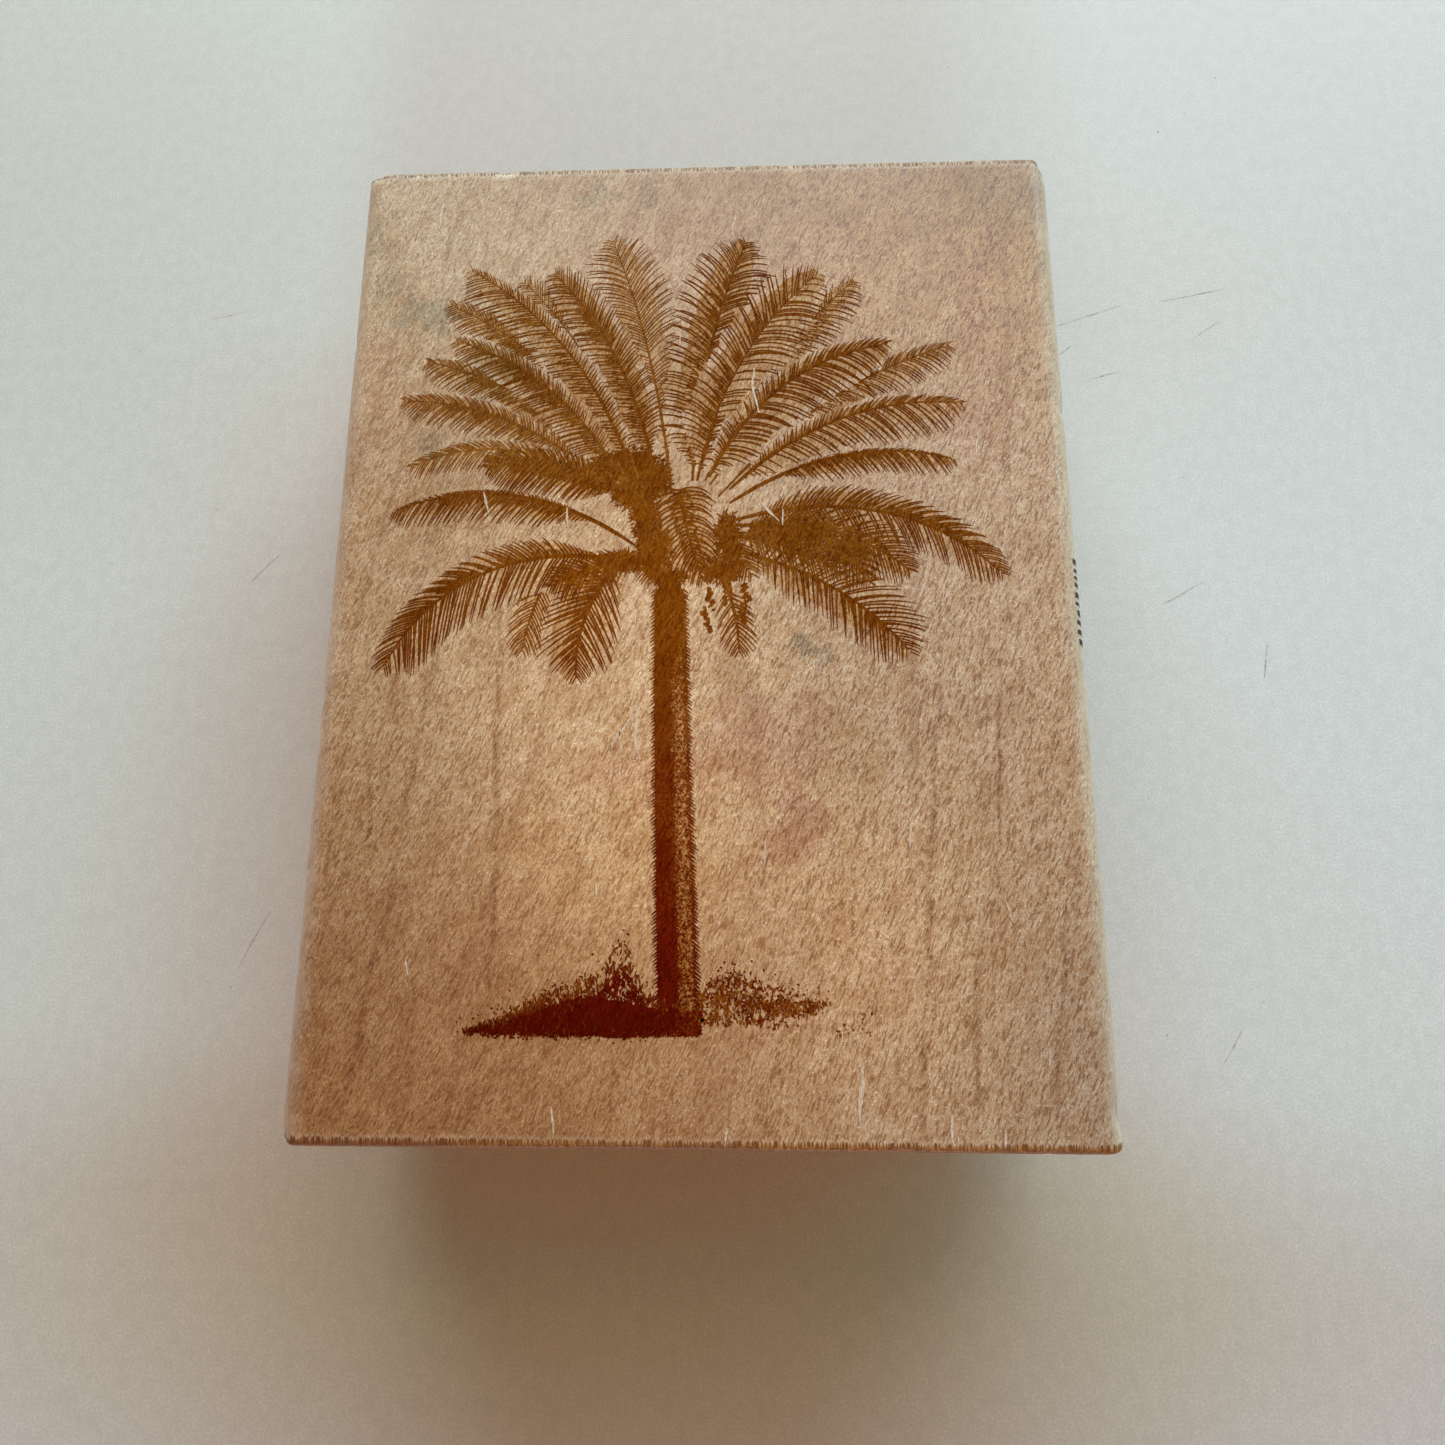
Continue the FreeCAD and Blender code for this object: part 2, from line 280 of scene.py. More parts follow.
    # worn pale rim where the lacquer is rubbed off the rounded edges
    to_edge = s.math("SUBTRACT", HALF_W, s.math("ABSOLUTE", s.math("SUBTRACT", s.x, MID_X)))
    ragged = s.math("MULTIPLY", s.noise(s.stretched(1.5, 4.0, 1.5), 1.0, 4.0, 0.7), 3.0)
    rim = s.step(s.math("ADD", to_edge, ragged), 1.0, 4.2, 0.75, 0.0)
    colour = s.mix(s.math("MULTIPLY", rim, on_top), colour, (0.82, 0.70, 0.56))

    # stains
    warp = s.node("TexNoise", {"Vector": s.point, "Scale": 0.26, "Detail": 5.0, "Roughness": 0.68})
    warped = s.vector("MULTIPLY_ADD", warp.outputs[1], (13.0, 13.0, 0.0))
    warped.node.inputs[2].default_value = (-6.5, -6.5, 0.0)
    warped = s.vector("ADD", s.point, warped)
    for x, y, radius_x, radius_y, tint, strength in STAINS:
        offset = s.vector("SUBTRACT", warped, (MID_X + x, MID_Y + y, TOP))
        scaled = s.vector("MULTIPLY", offset, (1 / radius_x, 1 / radius_y, 0.3))
        distance = s.node("VectorMath", {0: scaled}, operation="LENGTH").outputs["Value"]
        inside = s.step(distance, 0.45, 1.15, strength, 0.0)
        if tint[1] < 0.79:
            rim_of_stain = s.math("MULTIPLY", s.step(distance, 0.78, 0.98), s.step(distance, 0.98, 1.12, 1.0, 0.0))
            inside = s.math("ADD", inside, s.math("MULTIPLY", rim_of_stain, strength * 0.8), clamp=True)
        colour = s.mix(inside, colour, tint, "MULTIPLY")

    # end grain: dark ticks along the eased edge, fine pores and faint rings on the sawn face
    from_end = s.math("SUBTRACT", HALF_L, s.math("ABSOLUTE", s.math("SUBTRACT", s.y, MID_Y)))
    ticks = s.noise(s.stretched(0.17, 40.0, 0.17), 1.0, 2.0, 0.7)
    reach = s.step(ticks, 0.36, 0.62, 0.62, 1.00)
    reach = s.math("SUBTRACT", reach, s.step(s.y, -10.0, 10.0, 0.0, 0.08))
    into_end = s.math("SUBTRACT", reach, from_end)
    ease = s.step(into_end, -0.04, 0.10)
    lip = s.math("MULTIPLY", s.step(into_end, -0.42, -0.10), s.step(into_end, -0.10, 0.0, 1.0, 0.0))
    colour = s.mix(s.math("MULTIPLY", lip, 0.28), colour, (0.84, 0.70, 0.52))
    pores = s.noise(s.stretched(0.16, 0.5, 0.16), 1.0, 2.0, 0.6)
    rays = s.noise(s.stretched(0.16, 4.0, 3.2), 1.0, 2.0, 0.6)
    end_colour = s.mix(s.step(pores, 0.38, 0.64), (0.225, 0.090, 0.034), (0.43, 0.225, 0.105))
    end_colour = s.mix(s.step(rays, 0.52, 0.66, 0.0, 0.35), end_colour, (0.56, 0.35, 0.19))
    on_rim = s.step(from_end, 0.12, 0.30)
    rim_colour = s.mix(s.step(ticks, 0.40, 0.60), (0.56, 0.280, 0.074), (0.22, 0.072, 0.011))
    rim_colour = s.mix(s.step(s.x, -36.0, -4.0, 1.0, 0.0), rim_colour, (0.60, 0.47, 0.34), "MULTIPLY")
    far_rim = s.mix(s.step(ticks, 0.44, 0.54), (0.60, 0.43, 0.21), (0.200, 0.080, 0.014))
    rim_colour = s.mix(s.step(s.y, -10.0, 10.0), rim_colour, far_rim)
    end_colour = s.mix(on_rim, end_colour, rim_colour)
    band = s.step(phase, 0.55, 0.97)
    end_colour = s.mix(s.math("MULTIPLY", band, 0.45), end_colour, (0.20, 0.085, 0.035))
    flat_end = s.step(from_end, 0.0, 0.12, 1.0, 0.0)
    end_colour = s.mix(s.math("MULTIPLY", flat_end, 0.45), end_colour, (0.60, 0.39, 0.22))
    colour = s.mix(ease, colour, end_colour)

    # saw marks across the ends
    blade = s.noise(s.stretched(60.0, 4.0, 0.34), 1.0, 2.0, 0.6)
    marks = s.math("MULTIPLY", s.math("MULTIPLY", blade, flat_end), 1.6)
    height = s.math("ADD", s.math("MULTIPLY", fine, 0.55), s.math("MULTIPLY", fleck, -0.7))
    height = s.math("ADD", height, s.math("MULTIPLY", ripples, 1.6))
    height = s.math("ADD", height, s.math("MULTIPLY", speck, 0.5))
    height = s.math("ADD", height, marks)
    roughness = s.step(cloud, 0.30, 0.70, 0.38, 0.50)
    roughness = s.math("ADD", roughness, s.math("MULTIPLY", fine, 0.08))
    roughness = s.math("ADD", roughness, s.math("MULTIPLY", ease, 0.40), clamp=True)
    return colour, height, roughness


def maple_material():
    s = Shader("maple")
    colour, height, roughness = maple(s)
    return s.finish(
        colour, roughness, height, depth=0.030, Specular_IOR_Level=0.5, Coat_Weight=0.5, Coat_Roughness=0.40,
    )


def ink_material():
    """Brown ink soaked into the maple: the same wood, filtered by the ink, thinner where a stroke's tone is low."""
    s = Shader("print_ink")
    colour, height, roughness = maple(s)
    tone = s.node("Attribute", attribute_name="tone", attribute_type="GEOMETRY").outputs["Fac"]
    mottle = s.noise(s.stretched(0.30, 0.30, 1.0), 1.0, 3.0, 0.7)
    wide = s.noise(s.stretched(7.0, 9.0, 4.0), 1.0, 3.0)
    lower = s.step(s.y, -36.0, 12.0, 1.0, 0.0)
    full = s.mix(lower, (0.320, 0.135, 0.004), (0.200, 0.016, 0.003))
    thin = s.mix(lower, (0.640, 0.410, 0.120), (0.560, 0.310, 0.055))
    amount = s.math("ADD", tone, s.step(mottle, 0.30, 0.66, -0.22, 0.10))
    amount = s.math("ADD", amount, s.step(wide, 0.35, 0.65, -0.10, 0.10))
    filtered = s.mix(s.step(amount, -1.0, 0.0), (1.0, 1.0, 1.0), thin)
    filtered = s.mix(s.math("MULTIPLY", amount, 1.0, clamp=True), filtered, full)
    colour = s.mix(1.0, colour, filtered, "MULTIPLY")
    return s.finish(colour, 0.85, height, depth=0.022, Specular_IOR_Level=0.02)


def scuff_material():
    s = Shader("scuffed_lacquer")
    colour, height, roughness = maple(s)
    broken = s.noise(s.stretched(0.18, 0.5, 1.0), 1.0, 2.0, 0.7)
    colour = s.mix(s.step(broken, 0.36, 0.62, 0.28, 0.86), colour, (0.90, 0.80, 0.66))
    return s.finish(colour, 0.6, height, depth=0.02)


def rule_material():
    s = Shader("side_rule_ink")
    broken = s.noise(s.stretched(0.14, 0.2, 0.2), 1.0, 3.0, 0.7)
    colour = s.mix(s.step(broken, 0.50, 0.66), (0.012, 0.010, 0.012), (0.20, 0.12, 0.07))
    return s.finish(colour, 0.6, broken, depth=0.01)


def foam_material():
    """Closed-cell foam: fine cells on every cut edge."""
    s = Shader("cushion_foam")
    cells = s.node("TexVoronoi", {"Vector": s.point, "Scale": 3.4, "Randomness": 1.0}, feature="F1").outputs[0]
    small = s.node("TexVoronoi", {"Vector": s.point, "Scale": 8.0}, feature="F1").outputs[0]
    stain = s.noise(s.stretched(6, 6, 3), 1.0, 4.0, 0.6)
    colour = s.mix(s.step(cells, 0.10, 0.50), (0.47, 0.46, 0.43), (0.70, 0.69, 0.65))
    colour = s.mix(s.step(small, 0.05, 0.35, 0.35, 0.0), colour, (0.38, 0.37, 0.35))
    colour = s.mix(s.step(stain, 0.55, 0.75, 0.0, 0.35), colour, (0.62, 0.54, 0.40))
    height = s.math("ADD", cells, s.math("MULTIPLY", small, 0.6))
    return s.finish(colour, 0.92, height, depth=0.12, Sheen_Weight=0.15)


def adhesive_material():
    s = Shader("mounting_adhesive")
    fibre = s.noise(s.stretched(0.5, 0.5, 0.5), 1.0, 4.0, 0.6)
    dust = s.noise(s.stretched(2.5, 2.5, 2.5), 1.0, 4.0, 0.6)
    colour = s.mix(s.step(fibre, 0.35, 0.65), (0.62, 0.50, 0.29), (0.80, 0.72, 0.52))
    colour = s.mix(s.step(dust, 0.52, 0.70, 0.0, 0.5), colour, (0.42, 0.36, 0.28))
    return s.finish(colour, s.step(fibre, 0.3, 0.7, 0.35, 0.6), fibre, depth=0.03)


def rubber_material():
    """Moulded die rubber, stained by brown ink where it prints."""
    s = Shader("die_rubber")
    grain = s.noise(s.stretched(0.25, 0.25, 0.25), 1.0, 4.0, 0.65)
    bloom = s.noise(s.stretched(7, 7, 4), 1.0, 4.0, 0.6)
    colour = s.mix(s.step(grain, 0.3, 0.7), (0.300, 0.082, 0.058), (0.390, 0.115, 0.080))
    colour = s.mix(s.step(bloom, 0.48, 0.72, 0.0, 0.35), colour, (0.50, 0.27, 0.21))
    printing = s.step(s.z, DIE_LOW + 0.05, DIE_LOW + 0.55, 0.85, 0.0)
    patch = s.step(bloom, 0.30, 0.55, 0.6, 1.0)
    colour = s.mix(s.math("MULTIPLY", printing, patch), colour, (0.105, 0.036, 0.014))
    return s.finish(colour, s.step(grain, 0.3, 0.7, 0.50, 0.68), grain, depth=0.04, Specular_IOR_Level=0.4)


def floor_material():
    s = Shader("pale_tabletop")
    broad = s.noise(s.stretched(70, 70, 70), 1.0, 3.0)
    tooth = s.noise(s.stretched(0.28, 0.28, 0.28), 1.0, 3.0, 0.75)
    patches = s.noise(s.stretched(1.6, 2.2, 1.6), 1.0, 4.0, 0.7)
    colour = s.mix(s.step(broad, 0.3, 0.7), (0.745, 0.745, 0.730), (0.775, 0.770, 0.757))
    colour = s.mix(s.step(tooth, 0.36, 0.66, 0.52, 0.0), colour, (0.50, 0.495, 0.47))
    colour = s.mix(s.step(patches, 0.34, 0.62, 0.45, 0.0), colour, (0.60, 0.60, 0.58))
    # painted light: lighter on both sides of the block; painted shade: darker beyond its far side, and a yellow-brown
    # painted shadow before its near end
    away = s.vector("MULTIPLY", s.point, (1.0, 1.0, 0.0))
    away = s.node("VectorMath", {0: away}, operation="LENGTH").outputs["Value"]
    near = s.step(away, 150.0, 420.0, 1.0, 0.0)
    # painted light: lighter and bluer on the right of the block
    right = s.math("MULTIPLY", s.step(s.x, 24.0, 62.0), s.step(s.y, -76.0, -46.0))
    right = s.math("MULTIPLY", right, near)
    colour = s.mix(right, colour, (1.14, 1.23, 1.28), "MULTIPLY")
    # painted light: lighter and bluer on the left of the block
    left = s.math("MULTIPLY", s.step(s.x, -60.0, -40.0, 1.0, 0.0), s.step(s.y, -66.0, -40.0))
    left = s.math("MULTIPLY", left, near)
    colour = s.mix(left, colour, (1.10, 1.21, 1.19), "MULTIPLY")
    # painted shade: a little darker and warmer beyond the block's far side
    far = s.math("MULTIPLY", s.step(s.y, 8.0, 60.0), near)
    colour = s.mix(far, colour, (0.95, 0.91, 0.885), "MULTIPLY")
    # painted shadow: darker and yellower before the block's near end
    before = s.vector("MULTIPLY", s.vector("SUBTRACT", s.point, (-9.0, -70.0, 0.0)), (1 / 92, 1 / 30, 1 / 80))
    before = s.node("VectorMath", {0: before}, operation="LENGTH").outputs["Value"]
    colour = s.mix(s.step(before, 0.2, 1.1, 1.0, 0.0), colour, (0.90, 0.86, 0.66), "MULTIPLY")
    return s.finish(colour, s.step(tooth, 0.3, 0.7, 0.55, 0.66), tooth, depth=0.006, Specular_IOR_Level=0.3)


def mark_material():
    s = Shader("floor_hairline")
    broken = s.noise(s.stretched(0.8, 0.8, 0.8), 1.0, 3.0, 0.7)
    colour = s.mix(s.step(broken, 0.42, 0.60), (0.62, 0.63, 0.62), (0.36, 0.36, 0.36))
    return s.finish(colour, 0.6, broken, depth=0.004)


# =====================================================================================================
# mesh helpers
# =====================================================================================================
def piece(name, verts, faces, material, slot=None, replaces=(), smooth=False, tones=None):
    """A mesh of millimetre points that rides on the stamp; tones is one number per point."""
    mesh = bpy.data.meshes.new(name)
    mesh.from_pydata([(x * MM, y * MM, z * MM) for x, y, z in verts], [], faces)
    mesh.update()
    if smooth:
        mesh.shade_smooth()
    if tones is not None:
        mesh.attributes.new("tone", "FLOAT", "POINT").data.foreach_set("value", tones)
    mesh.materials.append(material)
    made = bpy.data.objects.new(name, mesh)
    bpy.context.scene.collection.objects.link(made)
    if slot:
        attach(made, "root")
    if replaces:
        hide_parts(*replaces)
    return made


class Prisms:
    """Many small closed prisms gathered into one mesh. near is the printed level and far the root level;
    flare widens the root."""

    def __init__(self, near, far, flare=0.0, stagger=0.0):
        self.near, self.far, self.flare, self.stagger = near, far, flare, stagger
        self.verts, self.faces, self.tones = [], [], []
        self.random = random.Random(5)

    def _levels(self, drop=0.0):
        shift = self.random.uniform(-self.stagger, self.stagger)
        return self.near + shift - drop, self.far

    def ribbon(self, stations, tone=1.0, drop=0.0):
        """stations: x, y, half width, direction of travel in radians clockwise from +Y."""
        near, far = self._levels(drop)
        base = len(self.verts)
        for x, y, half, angle in stations:
            across_x, across_y = math.cos(angle), -math.sin(angle)
            wide = half + self.flare
            self.verts += [
                (x - across_x * half, y - across_y * half, near),
                (x + across_x * half, y + across_y * half, near),
                (x - across_x * wide, y - across_y * wide, far),
                (x + across_x * wide, y + across_y * wide, far),
            ]
            self.tones += [tone] * 4
        up = near > far
        for i in range(len(stations) - 1):
            a = base + 4 * i
            b = a + 4
            self._face((a, a + 1, b + 1, b), up)
            self._face((a + 2, b + 2, b + 3, a + 3), up)
            self._face((a, b, b + 2, a + 2), up)
            self._face((a + 1, a + 3, b + 3, b + 1), up)
        last = base + 4 * (len(stations) - 1)
        self._face((base, base + 2, base + 3, base + 1), up)
        self._face((last, last + 1, last + 3, last + 2), up)

    def polygon(self, points, tone=1.0, drop=0.0):
        """Closed prism over an outline given anticlockwise seen from above."""
        near, far = self._levels(drop)
        base, count = len(self.verts), len(points)
        self.verts += [(x, y, near) for x, y in points] + [(x, y, far) for x, y in points]
        self.tones += [tone] * (2 * count)
        up = near > far
        self._face(tuple(base + i for i in reversed(range(count))), up)
        self._face(tuple(base + count + i for i in range(count)), up)
        for i in range(count):
            j = (i + 1) % count
            self._face((base + i, base + count + i, base + count + j, base + j)[::-1], up)

    def dot(self, x, y, radius, tone=1.0, sides=5, drop=0.0):
        turn = self.random.uniform(0, math.tau)
        squash = self.random.uniform(0.7, 1.3)
        points = []
        for i in range(sides):
            angle = turn + math.tau * i / sides
            reach = radius * self.random.uniform(0.75, 1.25)
            points.append((x + math.cos(angle) * reach * squash, y + math.sin(angle) * reach / squash))
        self.polygon(points, tone, drop)

    def _face(self, corners, up):
        self.faces.append(corners[::-1] if up else corners)

    def make(self, name, material, slot, replaces=(), tones=True):
        return piece(name, self.verts, self.faces, material, slot, replaces, tones=self.tones if tones else None)


def smoothstep(value, low, high):
    t = min(1.0, max(0.0, (value - low) / (high - low)))
    return t * t * (3 - 2 * t)


# =====================================================================================================
# the palm
# =====================================================================================================
# Each frond: root x, root y, launch, droop, length (as in the CAD picture), reach of the leaflets on the right and
# on the left of its direction of travel, spacing, stroke weight, tone, sag of the leaflets, bare share at the root,
# degrees that the leaflets near the root open wider,
# and the side shaded with extra short strokes (1 right, -1 left, 0 neither, 3 both, 2 both on a tangled frond that
# neither hides others nor is hidden). Fronds come back to front.
BACK_FRONDS = [
    (-3.0, 12.7, -7.0, -14.0, 29.6, 3.4, 3.4, 0.44, 0.78, 0.55, 0.9, 0.10, 0, 0),
    (-6.0, 12.0, -16.0, -28.0, 28.2, 2.2, 2.6, 0.46, 0.70, 0.60, 0.8, 0.10, 0, 0),
    (0.5, 13.0, 24.0, 24.0, 28.0, 2.8, 1.6, 0.48, 0.80, 0.70, 0.8, 0.10, 0, 0),
    (1.0, 12.5, 32.0, 40.0, 20.0, 2.6, 2.4, 0.48, 0.80, 0.60, 0.8, 0.10, 0, 0),
    (-7.0, 12.0, -25.0, -40.0, 30.4, 1.7, 2.6, 0.42, 0.78, 0.66, 0.6, 0.06, 0, 3),
    (-8.0, 12.0, -36.0, -42.0, 26.6, 1.3, 2.6, 0.42, 0.80, 0.68, 0.6, 0.06, 0, 3),
    (-8.5, 11.5, -44.0, -46.0, 26.2, 1.4, 2.5, 0.42, 0.86, 0.66, 0.6, 0.06, 0, 3),
    (-8.0, 11.0, -50.0, -68.0, 24.0, 1.2, 2.2, 0.42, 0.84, 0.45, 0.6, 0.06, 0, 0),
    (3.0, 12.5, 42.0, 32.0, 28.2, 2.6, 1.4, 0.48, 0.86, 0.75, 0.8, 0.10, 0, 0),
    (-14.2, 4.5, -150.0, -24.0, 10.2, 2.4, 2.4, 0.44, 0.92, 0.70, 0.6, 0.06, 0, 0),
]
FRONT_FRONDS = [
    (-4.7, 14.0, -12.0, -31.0, 26.4, 2.4, 3.0, 0.42, 0.94, 0.85, 0.7, 0.04, 0, 3),
    (-6.5, 12.5, -18.0, -41.0, 32.4, 1.2, 3.5, 0.42, 0.92, 0.85, 0.5, 0.04, 0, 3),
    (-7.5, 12.0, -27.0, -45.0, 26.4, 1.3, 3.0, 0.42, 0.92, 0.82, 0.5, 0.04, 0, 3),
    (-0.8, 13.0, 3.0, 19.0, 28.6, 3.8, 4.0, 0.47, 1.05, 0.90, 1.0, 0.02, 0, -1),
    (-0.3, 13.0, 12.0, 37.0, 27.6, 4.4, 3.6, 0.49, 1.08, 0.92, 0.9, 0.02, 0, -1),
    (0.5, 12.5, 24.0, 60.0, 26.0, 4.8, 1.6, 0.47, 1.02, 0.90, 0.8, 0.03, 0, -1),
    (3.0, 12.0, 46.0, 52.0, 26.8, 3.6, 1.2, 0.48, 1.00, 0.88, 0.6, 0.04, 0, -1),
    (-8.0, 11.5, -55.0, -50.0, 15.0, 2.0, 3.2, 0.34, 1.20, 0.95, 0.6, 0.02, 0, 2),
    (-6.5, 6.0, -54.0, -62.0, 27.0, 0.5, 2.9, 0.40, 1.04, 1.00, 0.5, 0.16, 0, -1),
    (3.0, 10.5, 56.0, 52.0, 24.4, 2.3, 0.4, 0.42, 0.98, 0.96, 0.5, 0.20, 0, 1),
    (-5.5, 4.0, -86.0, -40.0, 10.0, 2.0, 2.6, 0.40, 1.10, 0.90, 0.6, 0.04, 0, 2),
    (-6.0, 4.0, -76.0, -84.0, 30.4, 2.4, 4.2, 0.46, 1.12, 1.00, 0.5, 0.10, 0, 1),
    (3.0, 8.5, 74.0, 64.0, 29.4, 2.9, 2.6, 0.46, 0.98, 0.94, 0.6, 0.06, 0, -1),
    (3.5, 8.0, 84.0, 50.0, 19.0, 2.8, 3.2, 0.46, 0.98, 0.88, 0.6, 0.04, 0, 2),
    (4.0, 8.0, 84.0, 72.0, 15.2, 2.8, 3.0, 0.42, 1.00, 0.98, 0.6, 0.04, 0, 2),
    (3.0, 7.0, 96.0, 34.0, 12.0, 2.4, 2.8, 0.42, 1.00, 0.92, 0.6, 0.04, 0, 2),
    (-7.5, 5.0, -140.0, -46.0, 14.0, 4.3, 4.3, 0.50, 1.08, 0.98, 0.3, 0.06, 0, 1),
    (3.0, 5.5, 104.0, 40.0, 21.4, 3.4, 4.0, 0.50, 0.98, 0.96, 0.4, 0.06, 12, 1),
    (2.4, 2.5, 160.0, 20.0, 8.0, 2.1, 2.1, 0.46, 1.00, 0.90, 0.4, 0.06, 0, 0),
    (-4.0, 9.0, -168.0, -14.0, 7.0, 2.2, 2.4, 0.40, 1.10, 0.92, 0.4, 0.06, 0, 2),
    (2.2, 9.0, 160.0, -14.0, 7.0, 2.2, 2.2, 0.40, 1.10, 0.92, 0.4, 0.06, 0, 2),
    (-2.1, 12.1, 172.0, -14.0, 10.3, 4.0, 3.6, 0.44, 1.12, 0.92, 1.3, -0.2, 42, 3),
]
UPPER_COUNT = 9                      # front fronds drawn as the piece of upper fronds
FROND_BEND = 1.25
SPINE_STEPS = 80
COVER_PITCH = 0.22                   # cells used to tell which frond lies on top
FINENESS = 0.87                      # spacing of the leaflets drawn, as a share of the tables' spacing
WEB_TONE, WEB_TONE_SHADED = -0.80, -0.52     # tint of the wood between the leaflets
WEB_DROP = 0.012


def spine(frond):
    x, y, launch, droop, length = frond[:5]
    points = []
    for i in range(SPINE_STEPS + 1):
        angle = math.radians(launch + droop * ((i + 0.5) / SPINE_STEPS) ** FROND_BEND)
        points.append((MID_X + x, MID_Y + y, angle))
        x += math.sin(angle) * length / SPINE_STEPS
        y += math.cos(angle) * length / SPINE_STEPS
    return points


def grown_share(along, bare):
    """How long the leaflets are at a place along the frond, 0 to 1."""
    tip = max(0.0, (along - 0.62) / 0.38)
    return smoothstep(along, bare, bare + 0.22) * math.sqrt(1 - 0.90 * tip * tip)


def cell(x, y):
    return round(x / COVER_PITCH), round(y / COVER_PITCH)


def cover_map(fronds):
    """For each small cell, the number of the topmost frond whose blade lies over it. Tangled ones hide nothing."""
    cover = {}
    for number, frond in enumerate(fronds):
        points = spine(frond)
        bare = frond[11]
        if frond[13] == 2:
            continue
        for i, (x, y, angle) in enumerate(points):
            grown = grown_share(i / SPINE_STEPS, bare) * 0.86
            for side, reach in ((1, frond[5]), (-1, frond[6])):
                for k in range(int(reach * grown / (COVER_PITCH * 0.5)) + 1):
                    offset = side * k * COVER_PITCH * 0.5
                    for ahead in (0.0, 0.5):
                        step = ahead * frond[4] / SPINE_STEPS
                        place = cell(
                            x + math.cos(angle) * offset + math.sin(angle) * step,
                            y - math.sin(angle) * offset + math.cos(angle) * step,
                        )
                        cover[place] = number
    return cover


def leaflet(start, side, reach, along, remaining, sag, splay, weight, rng):
    """Stations of one curved leaflet: it leaves the spine towards the tip and sags under its own weight."""
    x, y, heading = start
    opening = math.radians(64 - 28 * along + splay * (1 - along) + rng.uniform(-4, 4))
    length = min(reach / math.sin(opening), 0.80 * remaining + 0.85) * rng.uniform(0.90, 1.08)
    angle = heading + side * opening
    stations = []
    half_widths = (0.105, 0.106, 0.100, 0.088, 0.068, 0.028)
    steps = len(half_widths) - 1
    for half in half_widths:
        stations.append((x, y, half * weight, angle))
        x += math.sin(angle) * length / steps
        y += math.cos(angle) * length / steps
        angle += sag * math.sin(angle) / steps
    return stations


def draw_frond(into, frond, rng, number=0, cover=None, coarse=1.0):
    """Rachis, both rows of leaflets, and short strokes along the shaded side, where no later frond lies on top."""
    length, right, left, spacing, weight, tone, sag, bare, splay, shaded = frond[4:]
    points = spine(frond)
    hidden = cover if cover and shaded != 2 else {}

    def ink_where_seen(stations, shade, drop=0.0):
        run = []
        for station in stations:
            if hidden.get(cell(station[0], station[1]), -1) <= number:
                run.append(station)
                continue
            if len(run) > 1:
                into.ribbon(run, shade, drop)
            run = []
        if len(run) > 1:
            into.ribbon(run, shade, drop)

    rachis = [
        (x, y, weight * min(0.11 + 0.9 * i / SPINE_STEPS, 0.23 - 0.16 * i / SPINE_STEPS), angle)
        for i, (x, y, angle) in enumerate(points)
    ][::3]
    if bare > 0.07:
        x, y, half, angle = rachis[0]
        rachis.insert(0, (x - math.sin(angle) * 1.7, y - math.cos(angle) * 1.7, 0.09, angle))
    ink_where_seen(rachis, tone)
    for side, reach in ((1, right), (-1, left)):
        web = []
        for i in range(0, SPINE_STEPS + 1, 2):
            x, y, angle = points[i]
            half = reach * grown_share(i / SPINE_STEPS, bare) * rng.uniform(0.30, 0.36)
            web.append((x + side * math.cos(angle) * half, y - side * math.sin(angle) * half, half, angle))
        ink_where_seen(web, WEB_TONE_SHADED if shaded in (side, 2, 3) else WEB_TONE, WEB_DROP)
    rows = [(1, right, 1.0), (-1, left, 1.0)]
    rows += [(side, reach, 0.40) for side, reach in ((1, right), (-1, left)) if shaded in (side, 2, 3)]
    count = int(length / (spacing * FINENESS * coarse))
    for side, reach, share in rows:
        for k in range(count):
            along = (k + 0.5 + rng.uniform(-0.20, 0.20)) / count
            missing = rng.random() < 0.015
            start = points[min(SPINE_STEPS, int(along * SPINE_STEPS))]
            heavy = weight * 0.87 * math.sqrt(coarse) * (1.2 if share < 1 else 1.0 - 0.30 * smoothstep(along, 0.75, 1.0))
            full = reach * grown_share(along, bare) * share
            if share < 1:
                full *= 1.0 - smoothstep(along, 0.70, 0.92)
            made = leaflet(start, side, full, along, (1 - along) * length, sag, splay, heavy, rng)
            shade = min(1.0, tone * rng.uniform(0.85, 1.12))
            if full > 0.25 and not missing:
                ink_where_seen(made, shade)


# Dense tufts at the heart of the crown: x, y, radius x, radius y
TUFTS = [
    (-7.6, 14.6, 4.6, 2.5), (-10.4, 13.4, 2.4, 1.6), (-5.6, 9.6, 1.5, 3.6), (-4.6, 5.6, 1.9, 3.0), (2.9, 6.8, 1.4, 3.0),
    (2.2, 3.2, 1.9, 1.3), (-7.8, 4.4, 2.6, 1.1), (-3.2, 2.6, 1.8, 0.9), (14.9, 5.2, 2.2, 1.3), (9.0, 7.4, 4.4, 1.0),
    (-7.0, 11.6, 2.0, 1.9), (-4.4, 13.2, 1.5, 1.9),
]


